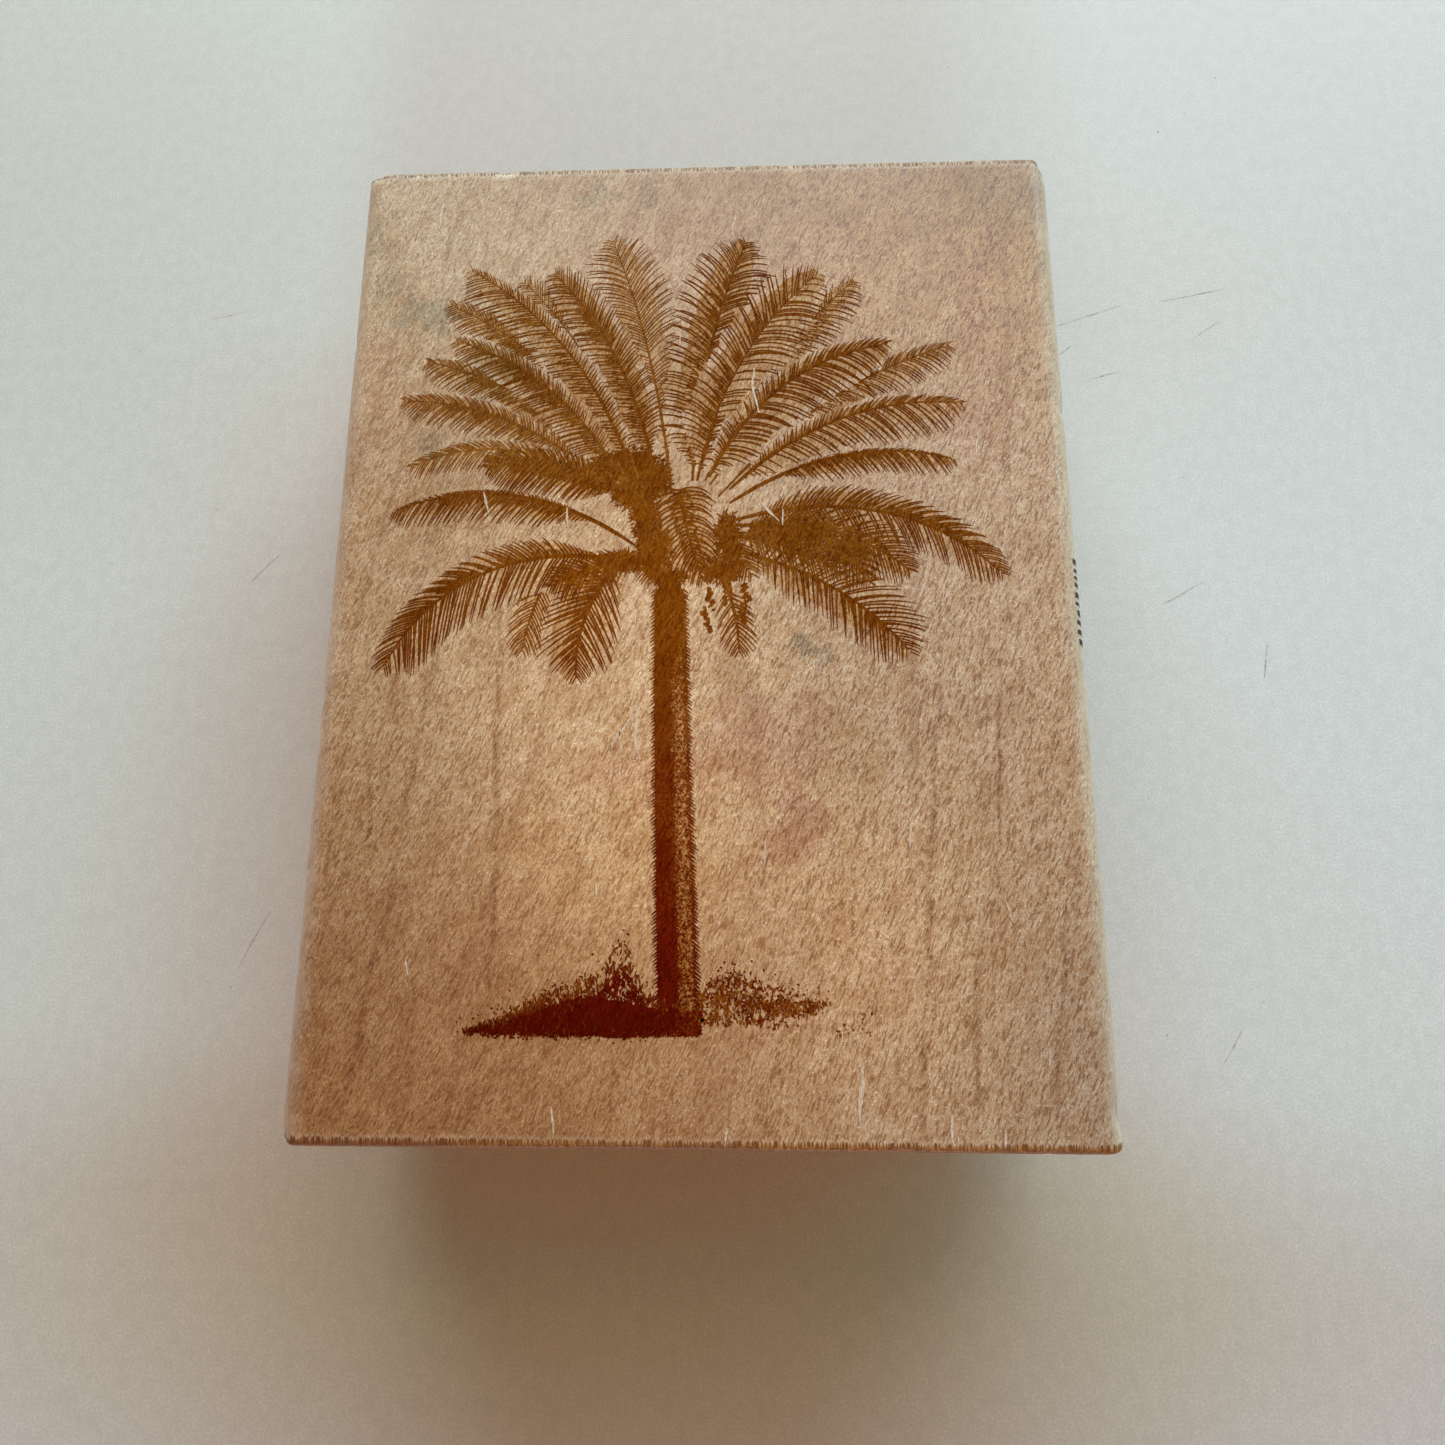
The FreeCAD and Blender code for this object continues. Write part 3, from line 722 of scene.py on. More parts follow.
def draw_tuft(into, tuft, rng, strokes):
    """A solid ragged core with short strokes standing out of it."""
    x, y, radius_x, radius_y = tuft
    outline = []
    for i in range(60):
        angle = math.tau * i / 60
        reach = rng.uniform(0.62, 0.86)
        outline.append((
            MID_X + x + math.cos(angle) * radius_x * reach,
            MID_Y + y + math.sin(angle) * radius_y * reach,
        ))
    into.polygon(outline, 1.0)
    for _ in range(strokes):
        angle = rng.uniform(0, math.tau)
        reach = rng.uniform(0.62, 0.96)
        heading = math.pi / 2 - angle + rng.uniform(-0.7, 0.7)
        start_x = MID_X + x + math.cos(angle) * radius_x * reach
        start_y = MID_Y + y + math.sin(angle) * radius_y * reach
        length = rng.uniform(0.25, 0.6)
        into.ribbon([
            (start_x + math.sin(heading) * length * t, start_y + math.cos(heading) * length * t, half, heading)
            for t, half in ((-0.3, 0.08), (0.4, 0.075), (1.0, 0.025))
        ], rng.uniform(0.8, 1.0))


def draw_fruit(into, rng):
    """Two hanging clusters of small fruit below the crown."""
    for x, y, drop in ((1.0, 1.4, 4.6), (4.4, 1.8, 4.2), (2.6, 2.2, 2.6)):
        for i in range(int(drop / 0.16)):
            t = i * 0.16
            spread = 0.55 * math.sin(math.pi * min(1.0, (t + 0.6) / (drop + 0.8)))
            into.dot(
                MID_X + x + rng.uniform(-spread, spread) + 0.22 * math.sin(t * 1.6), MID_Y + y - t,
                rng.uniform(0.16, 0.30), 1.0, 6,
            )


# Trunk edges at the crown and the foot: y, left x, right x
TRUNK_TOP = (2.2, -4.5, -1.5)
TRUNK_FOOT = (-40.6, -3.4, 0.2)
THIN_TONE = -0.25


def trunk_edges(y):
    t = (TRUNK_TOP[0] - y) / (TRUNK_TOP[0] - TRUNK_FOOT[0])
    bow = 0.15 * math.sin(math.pi * t)
    left = TRUNK_TOP[1] + (TRUNK_FOOT[1] - TRUNK_TOP[1]) * t - bow
    right = TRUNK_TOP[2] + (TRUNK_FOOT[2] - TRUNK_TOP[2]) * t - bow * 0.6
    return left, right


def draw_trunk(into, rng, solid_only=False):
    """Dark left part with a saw-toothed bark edge, speckled right part, broken dark line down the right edge."""
    steps = 130
    stations = []
    for i in range(steps + 1):
        y = TRUNK_TOP[0] + (TRUNK_FOOT[0] - TRUNK_TOP[0]) * i / steps
        left, right = trunk_edges(y)
        share = 1.0 - 0.47 * smoothstep(-y, 0.5, 9.5)
        edge = left + (right - left) * share + rng.uniform(-0.16, 0.16)
        left += rng.uniform(-0.10, 0.06)
        pinch = 0.9 * max(0.0, 1.0 - i / 4.0)
        left, edge = left + pinch, edge - pinch
        stations.append((MID_X + (left + edge) / 2, MID_Y + y, (edge - left) / 2, math.pi))
    into.ribbon(stations, 1.0)
    if solid_only:
        return
    thin = []
    for i in range(8, steps + 1):
        y = TRUNK_TOP[0] + (TRUNK_FOOT[0] - TRUNK_TOP[0]) * i / steps
        left, right = trunk_edges(y)
        middle = left + (right - left) * 0.75
        thin.append((MID_X + middle, MID_Y + y, right - middle + rng.uniform(-0.16, 0.02), math.pi))
    into.ribbon(thin, THIN_TONE, WEB_DROP)
    y = TRUNK_TOP[0] - 1.0
    while y > TRUNK_FOOT[0]:
        left, right = trunk_edges(y)
        for edge, side in ((left, -1), (right, 1)):
            heading = math.pi + side * -0.9
            length = rng.uniform(0.30, 0.66)
            into.ribbon([
                (MID_X + edge + math.sin(heading) * length * t, MID_Y + y + math.cos(heading) * length * t, half, heading)
                for t, half in ((-0.6, 0.10), (0.3, 0.08), (1.0, 0.025))
            ], rng.uniform(0.8, 1.0))
        y -= rng.uniform(0.26, 0.42)
    for _ in range(4800):
        y = rng.uniform(TRUNK_FOOT[0], -1.5)
        left, right = trunk_edges(y)
        share = 1.0 - 0.47 * smoothstep(-y, 0.5, 9.5)
        across = rng.uniform(share - 0.05, 1.0)
        pale = math.sin(math.pi * (across - share) / max(0.02, 1.0 - share)) if across > share else 0.0
        if rng.random() < (0.10 + 0.56 * smoothstep(-y, 2.5, 13.0)) * pale:
            continue
        into.dot(MID_X + left + (right - left) * across, MID_Y + y, rng.uniform(0.06, 0.13), rng.uniform(0.7, 1.0))


# Ground: left mound, right mound: profiles of its top edge as x, y
NEAR_EDGE = [(-21.4, -40.7), (-18.0, -39.5), (-14.3, -37.6), (-11.4, -36.6), (-8.9, -35.6), (-7.6, -33.4), (-6.6, -32.6),
             (-5.7, -35.0), (-4.8, -37.2), (0.4, -39.3)]
FAR_EDGE = [(0.2, -36.6), (2.0, -36.2), (3.6, -35.2), (5.5, -36.5), (9.0, -37.3), (12.6, -38.0)]
FAR_FOOT = [(0.2, -40.3), (4.5, -40.2), (7.5, -39.9), (10.0, -39.6), (12.6, -38.1)]


def height_on(edge, x):
    for (x0, y0), (x1, y1) in zip(edge, edge[1:]):
        if x0 <= x <= x1:
            return y0 + (y1 - y0) * (x - x0) / (x1 - x0)
    return None


def draw_ground(into, rng, coarse=False):
    """Two mounds of dots and short leaning ticks, dense at the foot and breaking up at the top edge, with strays."""
    lower = -41.0
    core = [(-21.5, -41.05), (-15.0, -41.15), (-6.0, -41.3), (-3.7, -41.25), (-2.0, -40.7), (0.7, -40.0), (0.5, -39.3),
            (-0.9, -39.1), (-3.6, -38.8), (-6.4, -38.5), (-9.0, -38.0), (-11.4, -38.0), (-13.5, -38.8), (-16.0, -39.8),
            (-18.6, -40.6)]
    ragged = []
    for (x0, y0), (x1, y1) in zip(core, core[1:] + core[:1]):
        for i in range(9):
            t = i / 9
            ragged.append((
                MID_X + x0 + (x1 - x0) * t + rng.uniform(-0.14, 0.14),
                MID_Y + y0 + (y1 - y0) * t + rng.uniform(-0.20, 0.20) + 0.18,
            ))
    into.polygon(ragged, 1.3)
    if not coarse:
        for _ in range(520):
            x = rng.uniform(-19.5, 0.4)
            edge = -40.95 + 1.1 * smoothstep(x, -3.6, 0.6)
            into.dot(MID_X + x, MID_Y + edge + rng.gauss(0.0, 0.22), rng.uniform(0.06, 0.13), rng.uniform(0.5, 1.1))

    def tick(x, y, half, tone):
        heading = rng.gauss(-0.15, 0.5)
        length = rng.uniform(0.25, 0.75)
        into.ribbon([
            (MID_X + x + math.sin(heading) * length * t, MID_Y + y + math.cos(heading) * length * t, size, heading)
            for t, size in ((-0.5, half * 0.6), (0.0, half), (0.5, half * 0.4))
        ], tone)

    for _ in range(500 if coarse else 4600):
        x = rng.uniform(-21.2, 0.4)
        top = height_on(NEAR_EDGE, x)
        y = rng.uniform(lower, top)
        if rng.random() > 0.12 + smoothstep(x, -20.5, -14.0):
            continue
        if rng.random() < smoothstep(y, lower + 0.35 * (top - lower), top + 0.2) * 0.80:
            continue
        rise = smoothstep(y, lower + 0.45 * (top - lower), top)
        tick(x, y, rng.uniform(0.06, 0.11), rng.uniform(0.85, 1.35) - 0.50 * rise)
    for _ in range(300 if coarse else 2900):
        x = rng.uniform(0.2, 12.4)
        top, foot = height_on(FAR_EDGE, x), height_on(FAR_FOOT, x)
        y = rng.uniform(foot, top) + rng.gauss(0.0, 0.25)
        streak = 0.5 + 0.5 * math.sin(y * 3.4 + x * 0.30 + 1.2)
        middle = abs(y - (foot + top) / 2) / max(0.3, (top - foot) / 2)
        if rng.random() < 0.12 + 0.50 * streak + 0.42 * smoothstep(middle, 0.35, 1.1):
            continue
        if rng.random() < 1.1 - (top - foot) / 3.6:
            continue
        if coarse or rng.random() < 0.3:
            tick(x, y, rng.uniform(0.05, 0.09), rng.uniform(0.3, 1.0))
        else:
            into.dot(MID_X + x, MID_Y + y, rng.uniform(0.06, 0.15), rng.uniform(0.2, 1.0))
    for _ in range(60 if coarse else 240):
        x = rng.choice((rng.uniform(-22.0, -4.0), rng.uniform(1.0, 16.0)))
        top = height_on(NEAR_EDGE, x) or height_on(FAR_EDGE, x) or -40.5
        into.dot(MID_X + x, MID_Y + top + abs(rng.gauss(0.0, 0.9)) - 0.5, rng.uniform(0.05, 0.13), 0.8)


def make_print(material):
    """The index picture as thin films on the top face."""
    level, root = TOP + 0.022, TOP - 0.030
    cover = cover_map(BACK_FRONDS + FRONT_FRONDS)
    upper, lower = FRONT_FRONDS[:UPPER_COUNT], FRONT_FRONDS[UPPER_COUNT:]
    jobs = (
        ("print_fronds_back", BACK_FRONDS, 0, 11),
        ("print_fronds_upper", upper, len(BACK_FRONDS), 23),
        ("print_fronds_lower", lower, len(BACK_FRONDS) + len(upper), 31),
    )
    for name, fronds, first, seed in jobs:
        rng = random.Random(seed)
        ink = Prisms(level, root, stagger=0.008)
        for number, frond in enumerate(fronds, first):
            draw_frond(ink, frond, rng, number, cover)
        if fronds is lower:
            for tuft in TUFTS:
                draw_tuft(ink, tuft, rng, 150)
            draw_fruit(ink, rng)
        ink.make(name, material, "print_ink", ["index_print"])
    rng = random.Random(37)
    ink = Prisms(level, root, stagger=0.008)
    draw_trunk(ink, rng)
    draw_ground(ink, rng)
    ink.make("print_trunk_and_ground", material, "print_ink", ["index_print"])


# =====================================================================================================
# block
# =====================================================================================================
def block_profile():
    """Points and outward normals round the block's section, in x and z, anticlockwise seen from the near end."""
    points = []

    def arc(cx, cz, radius, start, end, steps, inward=False):
        for i in range(steps):
            angle = math.radians(start + (end - start) * i / steps)
            sign = -1 if inward else 1
            points.append((cx + math.cos(angle) * radius, cz + math.sin(angle) * radius,
                           sign * math.cos(angle), sign * math.sin(angle)))

    def run(x0, z0, x1, z1, steps, normal):
        for i in range(steps):
            points.append((x0 + (x1 - x0) * i / steps, z0 + (z1 - z0) * i / steps, *normal))

    corner = 0.6
    half_chord = (GROOVE_HIGH - GROOVE_LOW) / 2
    groove_radius = (half_chord ** 2 + GROOVE_DEPTH ** 2) / (2 * GROOVE_DEPTH)
    groove_angle = math.degrees(math.asin(half_chord / groove_radius))
    groove_z = UNDER + (GROOVE_LOW + GROOVE_HIGH) / 2
    right, left = MID_X + HALF_W, MID_X - HALF_W
    # underside, then the right side going up, the top, and the left side going down
    run(left + corner, UNDER, right - corner, UNDER, 56, (0, -1))
    arc(right - corner, UNDER + corner, corner, -90, 0, 5)
    run(right, UNDER + corner, right, UNDER + GROOVE_LOW, 8, (1, 0))
    arc(right + groove_radius - GROOVE_DEPTH, groove_z, groove_radius, 180 + groove_angle, 180 - groove_angle, 24, True)
    run(right, UNDER + GROOVE_HIGH, right, TOP - SIDE_ROUND, 6, (1, 0))
    arc(right - SIDE_ROUND, TOP - SIDE_ROUND, SIDE_ROUND, 0, 90, 14)
    run(right - SIDE_ROUND, TOP, left + SIDE_ROUND, TOP, 90, (0, 1))
    arc(left + SIDE_ROUND, TOP - SIDE_ROUND, SIDE_ROUND, 90, 180, 14)
    run(left, TOP - SIDE_ROUND, left, UNDER + GROOVE_HIGH, 6, (-1, 0))
    arc(left - groove_radius + GROOVE_DEPTH, groove_z, groove_radius, groove_angle, -groove_angle, 24, True)
    run(left, UNDER + GROOVE_LOW, left, UNDER + corner, 8, (-1, 0))
    arc(left + corner, UNDER + corner, corner, 180, 270, 5)
    return points


def ripple(seed, wavelengths):
    """A smooth random function of position, the sum of a few waves."""
    rng = random.Random(seed)
    waves = []
    for wavelength in wavelengths:
        direction = Vector((rng.gauss(0, 1), rng.gauss(0, 1), rng.gauss(0, 1))).normalized()
        waves.append((direction * (math.tau / wavelength), rng.uniform(0, math.tau)))
    return lambda p: sum(math.sin(k.dot(p) + phase) for k, phase in waves) / len(waves)


# Small knocks on the edges: x, y, z, radius, depth
KNOCKS = [
    (-38.0, -9.0, 25.2, 1.2, 0.35), (-37.4, -26.0, 25.4, 0.8, 0.25), (38.0, 21.0, 25.0, 1.4, 0.30),
    (37.8, -47.5, 25.2, 2.2, 0.40), (-36.5, 50.8, 25.8, 1.6, 0.35), (18.0, -50.8, 25.8, 0.9, 0.30),
    (-22.0, 50.8, 25.8, 1.1, 0.25), (37.8, 50.0, 25.0, 1.8, 0.45), (9.0, 50.8, 25.6, 0.7, 0.22),
    (-37.8, -50.2, 25.0, 1.5, 0.35), (38.0, -18.0, 25.4, 0.9, 0.20), (31.0, -50.8, 25.7, 0.8, 0.25),
    (-38.0, 30.0, 24.9, 1.0, 0.22), (38.0, 8.0, 6.2, 1.2, 0.30), (-12.0, -50.8, 6.0, 1.0, 0.30),
    (26.0, -50.8, 6.1, 1.3, 0.35), (38.0, -36.0, 6.1, 0.9, 0.25), (38.0, -41.0, 20.6, 0.8, 0.18),
]


def make_block(material):
    profile = block_profile()
    ends = [END_EASE * (1 - math.cos(math.radians(90 * i / 9))) for i in range(10)]
    inner = list(np.linspace(END_EASE, 2 * HALF_L - END_EASE, 200))
    distances = ends[:-1] + inner + [2 * HALF_L - d for d in reversed(ends[:-1])]
    wave = ripple(3, (31.0, 19.0, 11.0))
    small = ripple(4, (2.3, 1.7, 1.1, 0.9))
    rng = random.Random(8)
    combs = [[rng.uniform(-1, 1) for _ in profile] for _ in range(2)]
    count = len(profile)
    normals = []
    for i in range(count):
        around = [profile[(i + k) % count] for k in (-2, -1, 0, 1, 2)]
        normal = Vector((sum(p[2] for p in around), sum(p[3] for p in around))).normalized()
        normals.append((normal.x, normal.y))
    knocks = [(Vector((MID_X + x, MID_Y + y, z)), radius, depth) for x, y, z, radius, depth in KNOCKS]
    verts = []
    for distance in distances:
        depth = min(distance, 2 * HALF_L - distance)
        eased = 0.0
        if depth < END_EASE:
            eased = END_EASE - math.sqrt(max(0.0, END_EASE ** 2 - (END_EASE - depth) ** 2))
        near_end = smoothstep(depth, 1.2, 0.0) if depth < 1.2 else 0.0
        comb = combs[0 if distance < HALF_L else 1]
        for i, (x, z, _, _) in enumerate(profile):
            nx, nz = normals[i]
            y = MID_Y - HALF_L + distance
            point = Vector((x, y, z))
            inset = eased + 0.020 * (1 + wave(point)) * abs(nx) + 0.012 * (1 + small(point)) * min(1.0, abs(nx) * 3)
            inset += 0.045 * near_end * (1 + comb[i]) * max(0.0, nz)
            for centre, radius, dent in knocks:
                gap = (point - centre).length
                if gap < radius:
                    inset += dent * (1 - (gap / radius) ** 2) ** 2
            verts.append((x - nx * inset, y, z - nz * inset))
    faces = []
    for j in range(len(distances) - 1):
        for i in range(count):
            a, b = j * count + i, j * count + (i + 1) % count
            faces.append((a, b, b + count, a + count))
    last = (len(distances) - 1) * count
    faces.append(tuple(reversed(range(count))))
    faces.append(tuple(range(last, last + count)))
    block = piece("maple_block", verts, faces, material, "maple", ["wood_block"], smooth=True)
    for face in block.data.polygons[-2:]:
        face.use_smooth = False
    return block


# Scratches through the lacquer: x, y, heading, length, half width
SCUFFS = [
    (5.6, 25.6, 176, 5.2, 0.13), (3.6, 44.2, 172, 2.6, 0.10), (-22.3, 12.0, 165, 2.6, 0.11), (-13.6, 10.2, 178, 2.2, 0.11),
    (6.2, 10.6, 160, 2.8, 0.12), (8.4, 9.8, 168, 1.8, 0.09), (-6.4, -10.8, 184, 4.2, 0.12), (-7.4, -16.2, 200, 1.6, 0.08),
    (14.6, -43.4, 158, 5.4, 0.17), (-5.7, -10.4, 186, 5.6, 0.14), (-7.6, -12.6, 172, 3.2, 0.06), (6.4, -23.2, 190, 3.0, 0.09), (28.6, 18.4, 200, 3.2, 0.09), (-28.8, 47.2, 168, 4.0, 0.14),
    (-29.6, 44.0, 150, 1.8, 0.09), (20.0, -22.0, 182, 2.6, 0.08), (28.4, -29.0, 178, 2.2, 0.07), (-30.6, 2.5, 150, 1.5, 0.07),
    (-27.0, -34.6, 165, 1.4, 0.07), (29.8, 6.0, 175, 1.8, 0.07), (22.0, 30.5, 185, 1.2, 0.06), (-9.5, -27.5, 176, 1.4, 0.06),
    (31.5, -42.0, 170, 1.6, 0.07), (-2.2, 30.0, 178, 1.5, 0.06), (17.0, -32.0, 120, 1.0, 0.06), (-17.5, 20.0, 170, 1.2, 0.06),
    (22.6, -47.4, 178, 2.6, 0.11), (27.2, -48.6, 174, 1.6, 0.09), (2.8, -48.8, 182, 1.6, 0.08), (-13.0, -47.2, 170, 2.4, 0.10),
]


def make_scuffs(material):
    rng = random.Random(19)
    scuffs = Prisms(TOP + 0.036, TOP - 0.02)
    for x, y, heading, length, half in SCUFFS:
        angle = math.radians(heading)
        steps = max(4, int(length / 0.35))
        px, py = MID_X + x, MID_Y + y
        stations = []
        for i in range(steps + 1):
            t = i / steps
            width = half * (0.25 + math.sin(math.pi * min(1.0, t * 0.9 + 0.08))) * rng.uniform(0.55, 1.15)
            stations.append((px, py, width, angle))
            angle += rng.uniform(-0.22, 0.22)
            px += math.sin(angle) * length / steps
            py += math.cos(angle) * length / steps
        scuffs.ribbon(stations)
    scuffs.make("lacquer_scuffs", material, "maple", tones=False)


def make_side_rule(material):
    """A plain row of tick marks printed over the rounded edge of the right-hand side."""
    rng = random.Random(29)
    verts, faces = [], []
    y = 4.4
    while y > -4.6:
        wide = rng.choice((0.30, 0.42, 0.55))
        low, high = math.radians(rng.uniform(-2, 4)), math.radians(rng.uniform(44, 54))
        base, steps = len(verts), 6
        for i in range(steps + 1):
            angle = high + (low - high) * i / steps
            for reach in (SIDE_ROUND + 0.012, SIDE_ROUND - 0.10):
                for edge in (y, y - wide):
                    verts.append((
                        MID_X + HALF_W - SIDE_ROUND + math.cos(angle) * reach, MID_Y + edge,
                        TOP - SIDE_ROUND + math.sin(angle) * reach,
                    ))
        for i in range(steps):
            a = base + 4 * i
            b = a + 4
            faces += [(a, b, b + 1, a + 1), (a + 2, a + 3, b + 3, b + 2), (a, a + 2, b + 2, b), (a + 1, b + 1, b + 3, a + 3)]
        end = base + 4 * steps
        faces += [(base, base + 1, base + 3, base + 2), (end, end + 2, end + 3, end + 1)]
        y -= wide + rng.uniform(0.35, 0.60)
    piece("side_tick_rule", verts, faces, material, "print_ink")


# =====================================================================================================
# mounting stack
# =====================================================================================================
def outline_of(node):
    """The node's outline at its lowest level, read from the CAD mesh, as ordered x, y points in millimetres."""
    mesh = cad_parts[node].data
    low = min(v.co.z for v in mesh.vertices)
    links = {}
    for face in mesh.polygons:
        if abs(face.normal.z) > 0.5:
            continue
        corners = [mesh.vertices[i].co for i in face.vertices]
        for a, b in zip(corners, corners[1:] + corners[:1]):
            if max(a.z, b.z) < low + 1e-6:
                keys = [(round(p.x / MM, 4), round(p.y / MM, 4)) for p in (a, b)]
                if keys[0] != keys[1]:
                    links.setdefault(keys[0], set()).add(keys[1])
                    links.setdefault(keys[1], set()).add(keys[0])
    start = min(links)
    path, last, here = [start], None, start
    while True:
        onward = [p for p in sorted(links[here]) if p != last]
        last, here = here, onward[0]
        if here == start:
            break
        path.append(here)
    area = sum(a[0] * b[1] - b[0] * a[1] for a, b in zip(path, path[1:] + path[:1]))
    return path if area > 0 else path[::-1]


def resample(path, pitch):
    """Even points round a closed outline, with outward normals."""
    closed = np.array(path + path[:1])
    lengths = np.concatenate([[0], np.cumsum(np.hypot(*np.diff(closed, axis=0).T))])
    where = np.linspace(0, lengths[-1], int(lengths[-1] / pitch), endpoint=False)
    x, y = np.interp(where, lengths, closed[:, 0]), np.interp(where, lengths, closed[:, 1])
    dx, dy = np.roll(x, -1) - np.roll(x, 1), np.roll(y, -1) - np.roll(y, 1)
    size = np.hypot(dx, dy)
    return x, y, dy / size, -dx / size, where


def make_layer(name, node, material, slot, levels, roughness, seed, extra=0.0, smooth=True):
    """A layer cut to the trimmed outline. levels: share of thickness and how far that level is drawn in."""
    low, high = (corner.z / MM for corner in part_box(node))
    x, y, nx, ny, where = resample(outline_of(node), 0.30)
    rng = random.Random(seed)
    phases = [rng.uniform(0, math.tau) for _ in range(5)]
    total = where[-1] + 0.30
    count = len(x)
    verts = []
    for share, inset in levels:
        wobble = sum(
            amplitude * np.sin(where / total * math.tau * turns + phase + share * 1.5)
            for amplitude, turns, phase in zip((0.16, 0.10, 0.06, 0.04, 0.03), (9, 17, 41, 97, 181), phases)
        )
        jag = np.array([rng.uniform(-1, 1) for _ in range(count)]) * roughness
        draw = np.maximum(inset + extra + 0.30 + wobble + jag, 0.02)
        z = low + (high - low) * share
        verts += [(float(a), float(b), z) for a, b in zip(x - nx * draw, y - ny * draw)]
    faces = []
    for j in range(len(levels) - 1):
        for i in range(count):
            a, b = j * count + i, j * count + (i + 1) % count
            faces.append((a, b, b + count, a + count))
    last = (len(levels) - 1) * count
    faces.append(tuple(reversed(range(count))))
    faces.append(tuple(range(last, last + count)))
    layer = piece(name, verts, faces, material, slot, [node] if node != "rubber_die" else [], smooth=smooth)
    for face in layer.data.polygons[-2:]:
        face.use_smooth = False
    return layer


def make_mounting(foam, adhesive):
    cushion = make_layer(
        "foam_pad", "foam_cushion", foam, "foam",
        [(0, 0.02), (0.04, 0.0), (0.18, 0.07), (0.35, 0.12), (0.5, 0.14), (0.65, 0.12), (0.82, 0.07), (0.96, 0.0), (1, 0.02)],
        0.05, 41,
    )
    make_layer("adhesive_above_pad", "upper_adhesive_film", adhesive, "adhesive", [(0, 0), (1, 0)], 0.05, 43, -0.10)
    make_layer("adhesive_below_pad", "lower_adhesive_film", adhesive, "adhesive", [(0, 0), (1, 0)], 0.05, 47, -0.06)


def make_die(rubber):
    """Sheet cut to the outline, solid shoulders under each frond, and the fine printing ridges."""
    low, high = DIE_LOW, DIE_HIGH
    x, y, nx, ny, where = resample(outline_of("foam_cushion"), 0.30)
    rng = random.Random(53)
    count = len(x)
    levels = ((low + RELIEF, 0.12), (low + RELIEF + 0.12, 0.02), (high - 0.1, 0.0), (high, 0.06))
    wobble = 0.16 * np.sin(where / where[-1] * math.tau * 9 + 1.0) + 0.08 * np.sin(where / where[-1] * math.tau * 31)
    verts, faces = [], []
    for z, inset in levels:
        jag = np.array([rng.uniform(-0.03, 0.03) for _ in range(count)])
        draw = inset + 0.28 + wobble + jag
        verts += [(float(a), float(b), z) for a, b in zip(x - nx * draw, y - ny * draw)]
    for j in range(len(levels) - 1):
        for i in range(count):
            a, b = j * count + i, j * count + (i + 1) % count
            faces.append((a, b, b + count, a + count))
    faces.append(tuple(reversed(range(count))))
    faces.append(tuple(range(3 * count, 4 * count)))
    piece("die_sheet", verts, faces, rubber, "die_rubber", ["rubber_die"])

    shoulders = Prisms(low + 0.55, low + RELIEF + 0.05, flare=0.25)
    for frond in BACK_FRONDS + FRONT_FRONDS:
        points = spine(frond)[::4]
        right, left = frond[5], frond[6]
        stations = []
        for i, (px, py, angle) in enumerate(points):
            t = i / (len(points) - 1)
            grown = smoothstep(t, 0.04, 0.34) * (1 - 0.75 * smoothstep(t, 0.62, 1.0))
            r, l = 0.3 + right * grown * 0.72, 0.3 + left * grown * 0.72
            shift = (r - l) / 2
            stations.append((px + math.cos(angle) * shift, py - math.sin(angle) * shift, (r + l) / 2, angle))
        shoulders.ribbon(stations)
    rng = random.Random(59)
    for tuft in TUFTS:
        draw_tuft(shoulders, tuft, rng, 0)
    draw_trunk(shoulders, rng, solid_only=True)
    shoulders.make("die_shoulders", rubber, "die_rubber", ["rubber_die"], tones=False)

    ridges = Prisms(low, low + 0.75, flare=0.10)
    rng = random.Random(61)
    for frond in BACK_FRONDS + FRONT_FRONDS:
        draw_frond(ridges, frond, rng, coarse=1.25)
    for tuft in TUFTS:
        draw_tuft(ridges, tuft, rng, 40)
    ridges.make("die_ridges", rubber, "die_rubber", ["rubber_die"], tones=False)

    foot = Prisms(low, low + RELIEF + 0.05, flare=0.12)
    draw_trunk(foot, rng)
    draw_ground(foot, rng, coarse=True)
    foot.make("die_trunk_and_ground", rubber, "die_rubber", ["rubber_die"], tones=False)


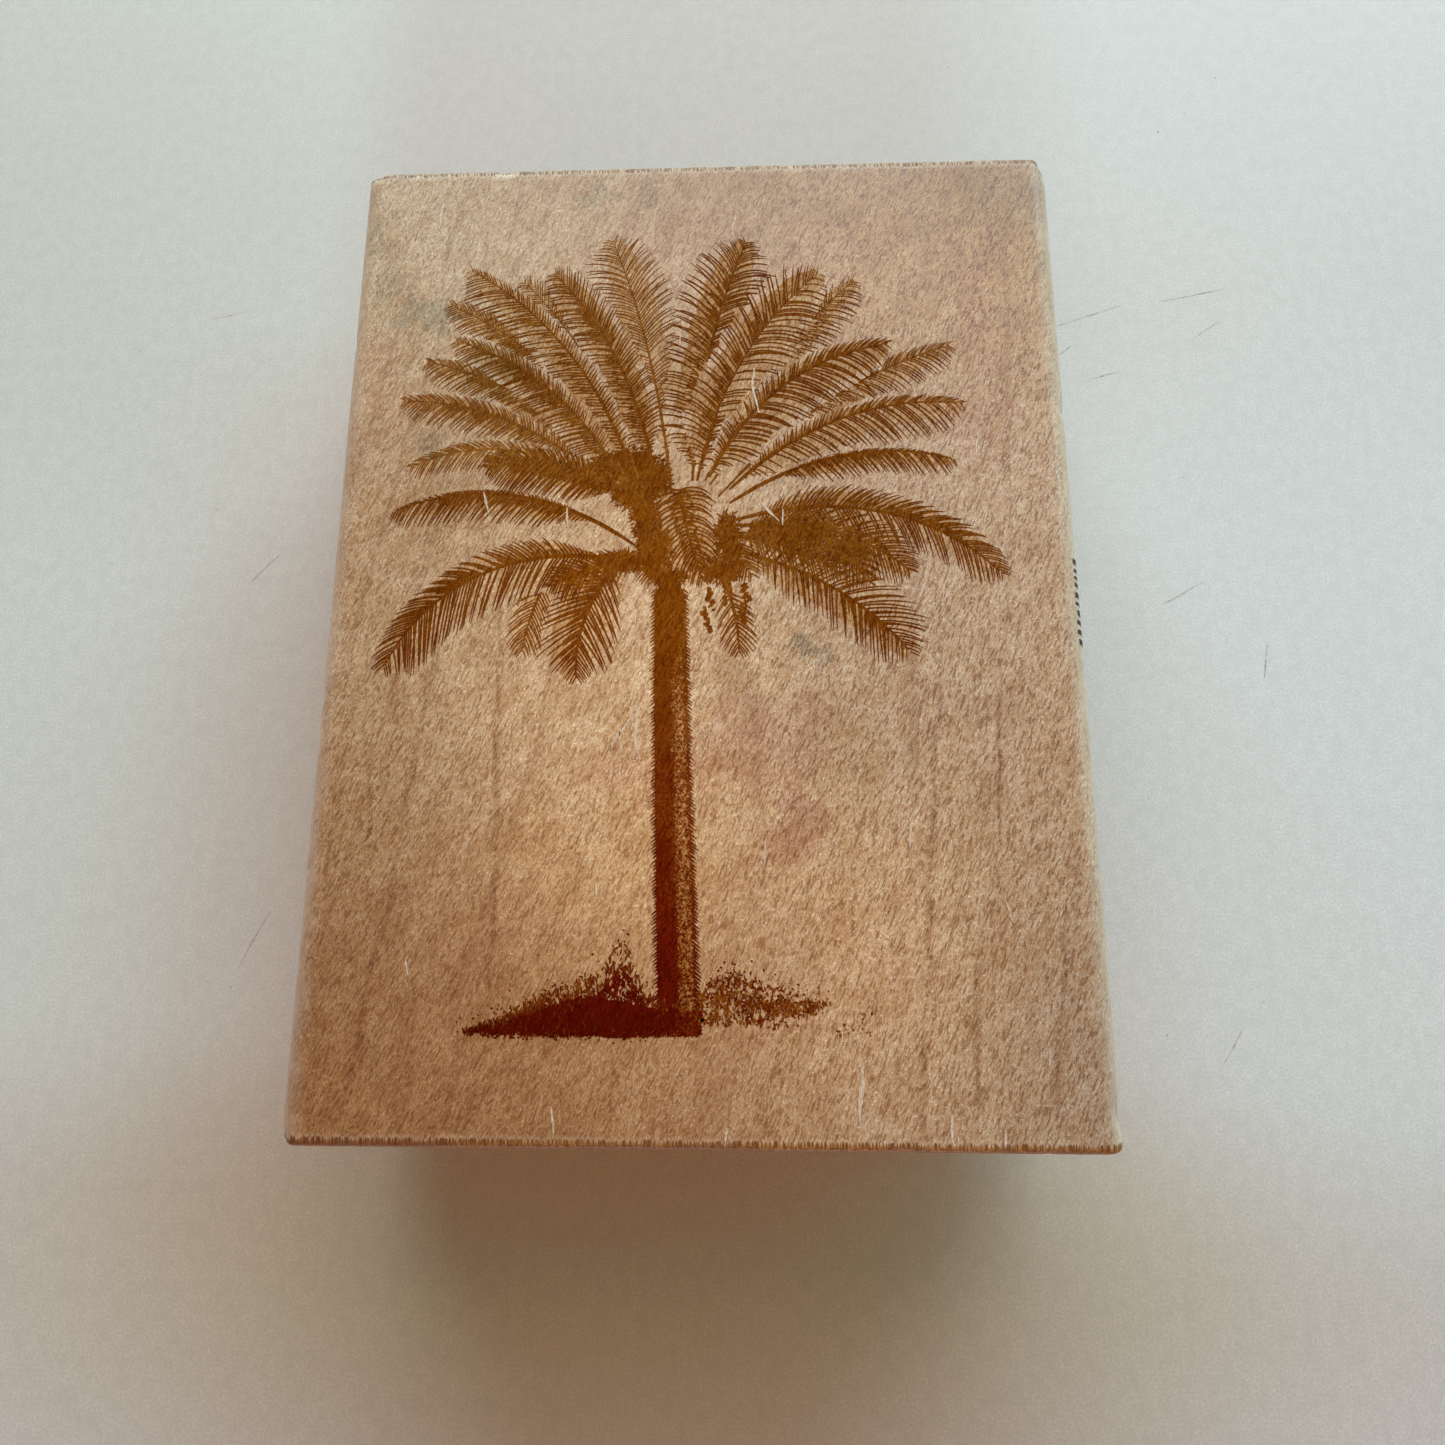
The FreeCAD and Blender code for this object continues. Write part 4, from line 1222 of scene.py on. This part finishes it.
# =====================================================================================================
# floor, light and camera
# =====================================================================================================
def make_floor(material, marks):
    """A flat tabletop that curves up into its own backdrop far away on every side."""
    verts, faces = [(0, 0, 0)], []
    spokes, rings = 96, [150, 400, 900, 1500, 1900, 2200, 2420, 2560, 2640, 2680, 2700, 2700]
    rises = [0, 0, 0, 0, 60, 190, 400, 680, 1000, 1600, 2400, 3400]
    for radius, rise in zip(rings, rises):
        for i in range(spokes):
            angle = math.tau * i / spokes
            verts.append((math.cos(angle) * radius, math.sin(angle) * radius, rise))
    for i in range(spokes):
        faces.append((0, 1 + i, 1 + (i + 1) % spokes))
    for j in range(len(rings) - 1):
        for i in range(spokes):
            a, b = 1 + j * spokes + i, 1 + j * spokes + (i + 1) % spokes
            faces.append((a, a + spokes, b + spokes, b))
    floor = piece("floor", verts, faces, material, smooth=True)

    # hairline scratches: x, y, heading, length
    rng = random.Random(71)
    lines = Prisms(0.012, -0.05)
    for x, y, heading, length in (
        (46.5, 48, 66, 11), (47.5, 44, 62, 3), (51, 40, 70, 5), (62, 52, 75, 10), (66, 46, 50, 5), (58, 8, 66, 7), (-62, 12, 40, 6),
        (-58, -38, 20, 8), (-18, 68, 100, 3), (2, 74, 60, 4), (70, -2, 10, 5), (-72, 52, 80, 5), (60, -48, 30, 5),
    ):
        angle = math.radians(heading)
        px, py, steps, stations = x, y, 12, []
        for i in range(steps + 1):
            stations.append((px, py, rng.uniform(0.04, 0.13) * math.sin(math.pi * (i + 0.5) / (steps + 1)), angle))
            angle += rng.uniform(-0.06, 0.06)
            px += math.sin(angle) * length / steps
            py += math.cos(angle) * length / steps
        lines.ribbon(stations)
    for _ in range(30):
        lines.dot(rng.uniform(-85, 85), rng.uniform(-85, 95), rng.uniform(0.08, 0.2), 1.0, 6)
    lines.make("floor_hairlines", marks, None, tones=False)


def add_area(name, place, target, size, power, colour):
    light = bpy.data.lights.new(name, "AREA")
    light.shape, light.size, light.size_y = "RECTANGLE", size[0], size[1]
    light.energy, light.color = power, colour
    lamp = bpy.data.objects.new(name, light)
    bpy.context.scene.collection.objects.link(lamp)
    lamp.location = place
    lamp.rotation_euler = (Vector(target) - Vector(place)).to_track_quat("-Z", "Y").to_euler()
    return lamp


def make_lights():
    middle = (0, 0, 0.02)
    add_area("window", (0.12, 1.00, 0.48), middle, (1.50, 0.40), 18.06, (0.728, 0.937, 1.0))
    add_area("wall_above_window", (0.10, 0.84, 0.80), middle, (0.80, 0.50), 2.86, (1.0, 0.42, 0.263))
    add_area("side_window", (1.00, 0.40, 0.70), middle, (0.80, 0.50), 3.30, (0.42, 0.97, 1.0))
    add_area("lamp_in_room", (-0.08, -0.40, 0.45), (0, 0, 0), (0.5, 0.5), 0.77, (1.0, 0.247, 0.0))
    low = add_area("low_fill", (0.0, -1.30, 0.035), (0.0, 0.0, 0.02), (0.90, 0.05), 3.6, (1.0, 0.94, 0.84))
    low.visible_camera = False
    for i in range(5):
        angle = math.tau * (i + 0.5) / 5
        near, far = Vector((math.sin(angle) * 1.2, math.cos(angle) * 1.2, 0.9)), 2.5
        lamp = add_area(
            f"backdrop_{i}", near, (math.sin(angle) * far, math.cos(angle) * far, 0.8), (0.9, 0.5), 3.15,
            (1.0, 0.90, 0.75),
        )
        lamp.visible_camera = False
    world = bpy.data.worlds.new("room")
    world.use_nodes = True
    background = world.node_tree.nodes["Background"]
    background.inputs[0].default_value = (0.80, 0.84, 0.88, 1)
    background.inputs[1].default_value = 0.0
    bpy.context.scene.world = world


# Camera solved from the block's four top edges: place relative to the middle of the top face, in millimetres
CAMERA_PLACE = Vector((4.8, -27.9, 80.6))
CAMERA_FORWARD = Vector((-0.0301, 0.1906, -0.9812))
CAMERA_RIGHT = Vector((0.9995, 0.0018, -0.0304))
FOCAL_PIXELS, FRAME_PIXELS, SENSOR = 850.0, 1445.0, 36.0


def make_camera():
    camera = bpy.data.objects.new("camera", bpy.data.cameras.new("camera"))
    bpy.context.scene.collection.objects.link(camera)
    forward = CAMERA_FORWARD.normalized()
    up = CAMERA_RIGHT.cross(forward).normalized()
    right = forward.cross(up)
    camera.matrix_world = Matrix.Translation(
        (CAMERA_PLACE + Vector((MID_X, MID_Y, TOP))) * MM
    ) @ Matrix((right, up, -forward)).transposed().to_4x4()
    camera.data.sensor_width = SENSOR
    camera.data.lens = FOCAL_PIXELS / FRAME_PIXELS * SENSOR
    camera.data.clip_start, camera.data.clip_end = 0.002, 20.0
    bpy.context.scene.camera = camera


wood = maple_material()
make_block(wood)
make_print(ink_material())
make_scuffs(scuff_material())
make_side_rule(rule_material())
make_mounting(foam_material(), adhesive_material())
make_die(rubber_material())
make_floor(floor_material(), mark_material())
make_lights()
make_camera()
bpy.context.scene.view_settings.view_transform = "Standard"
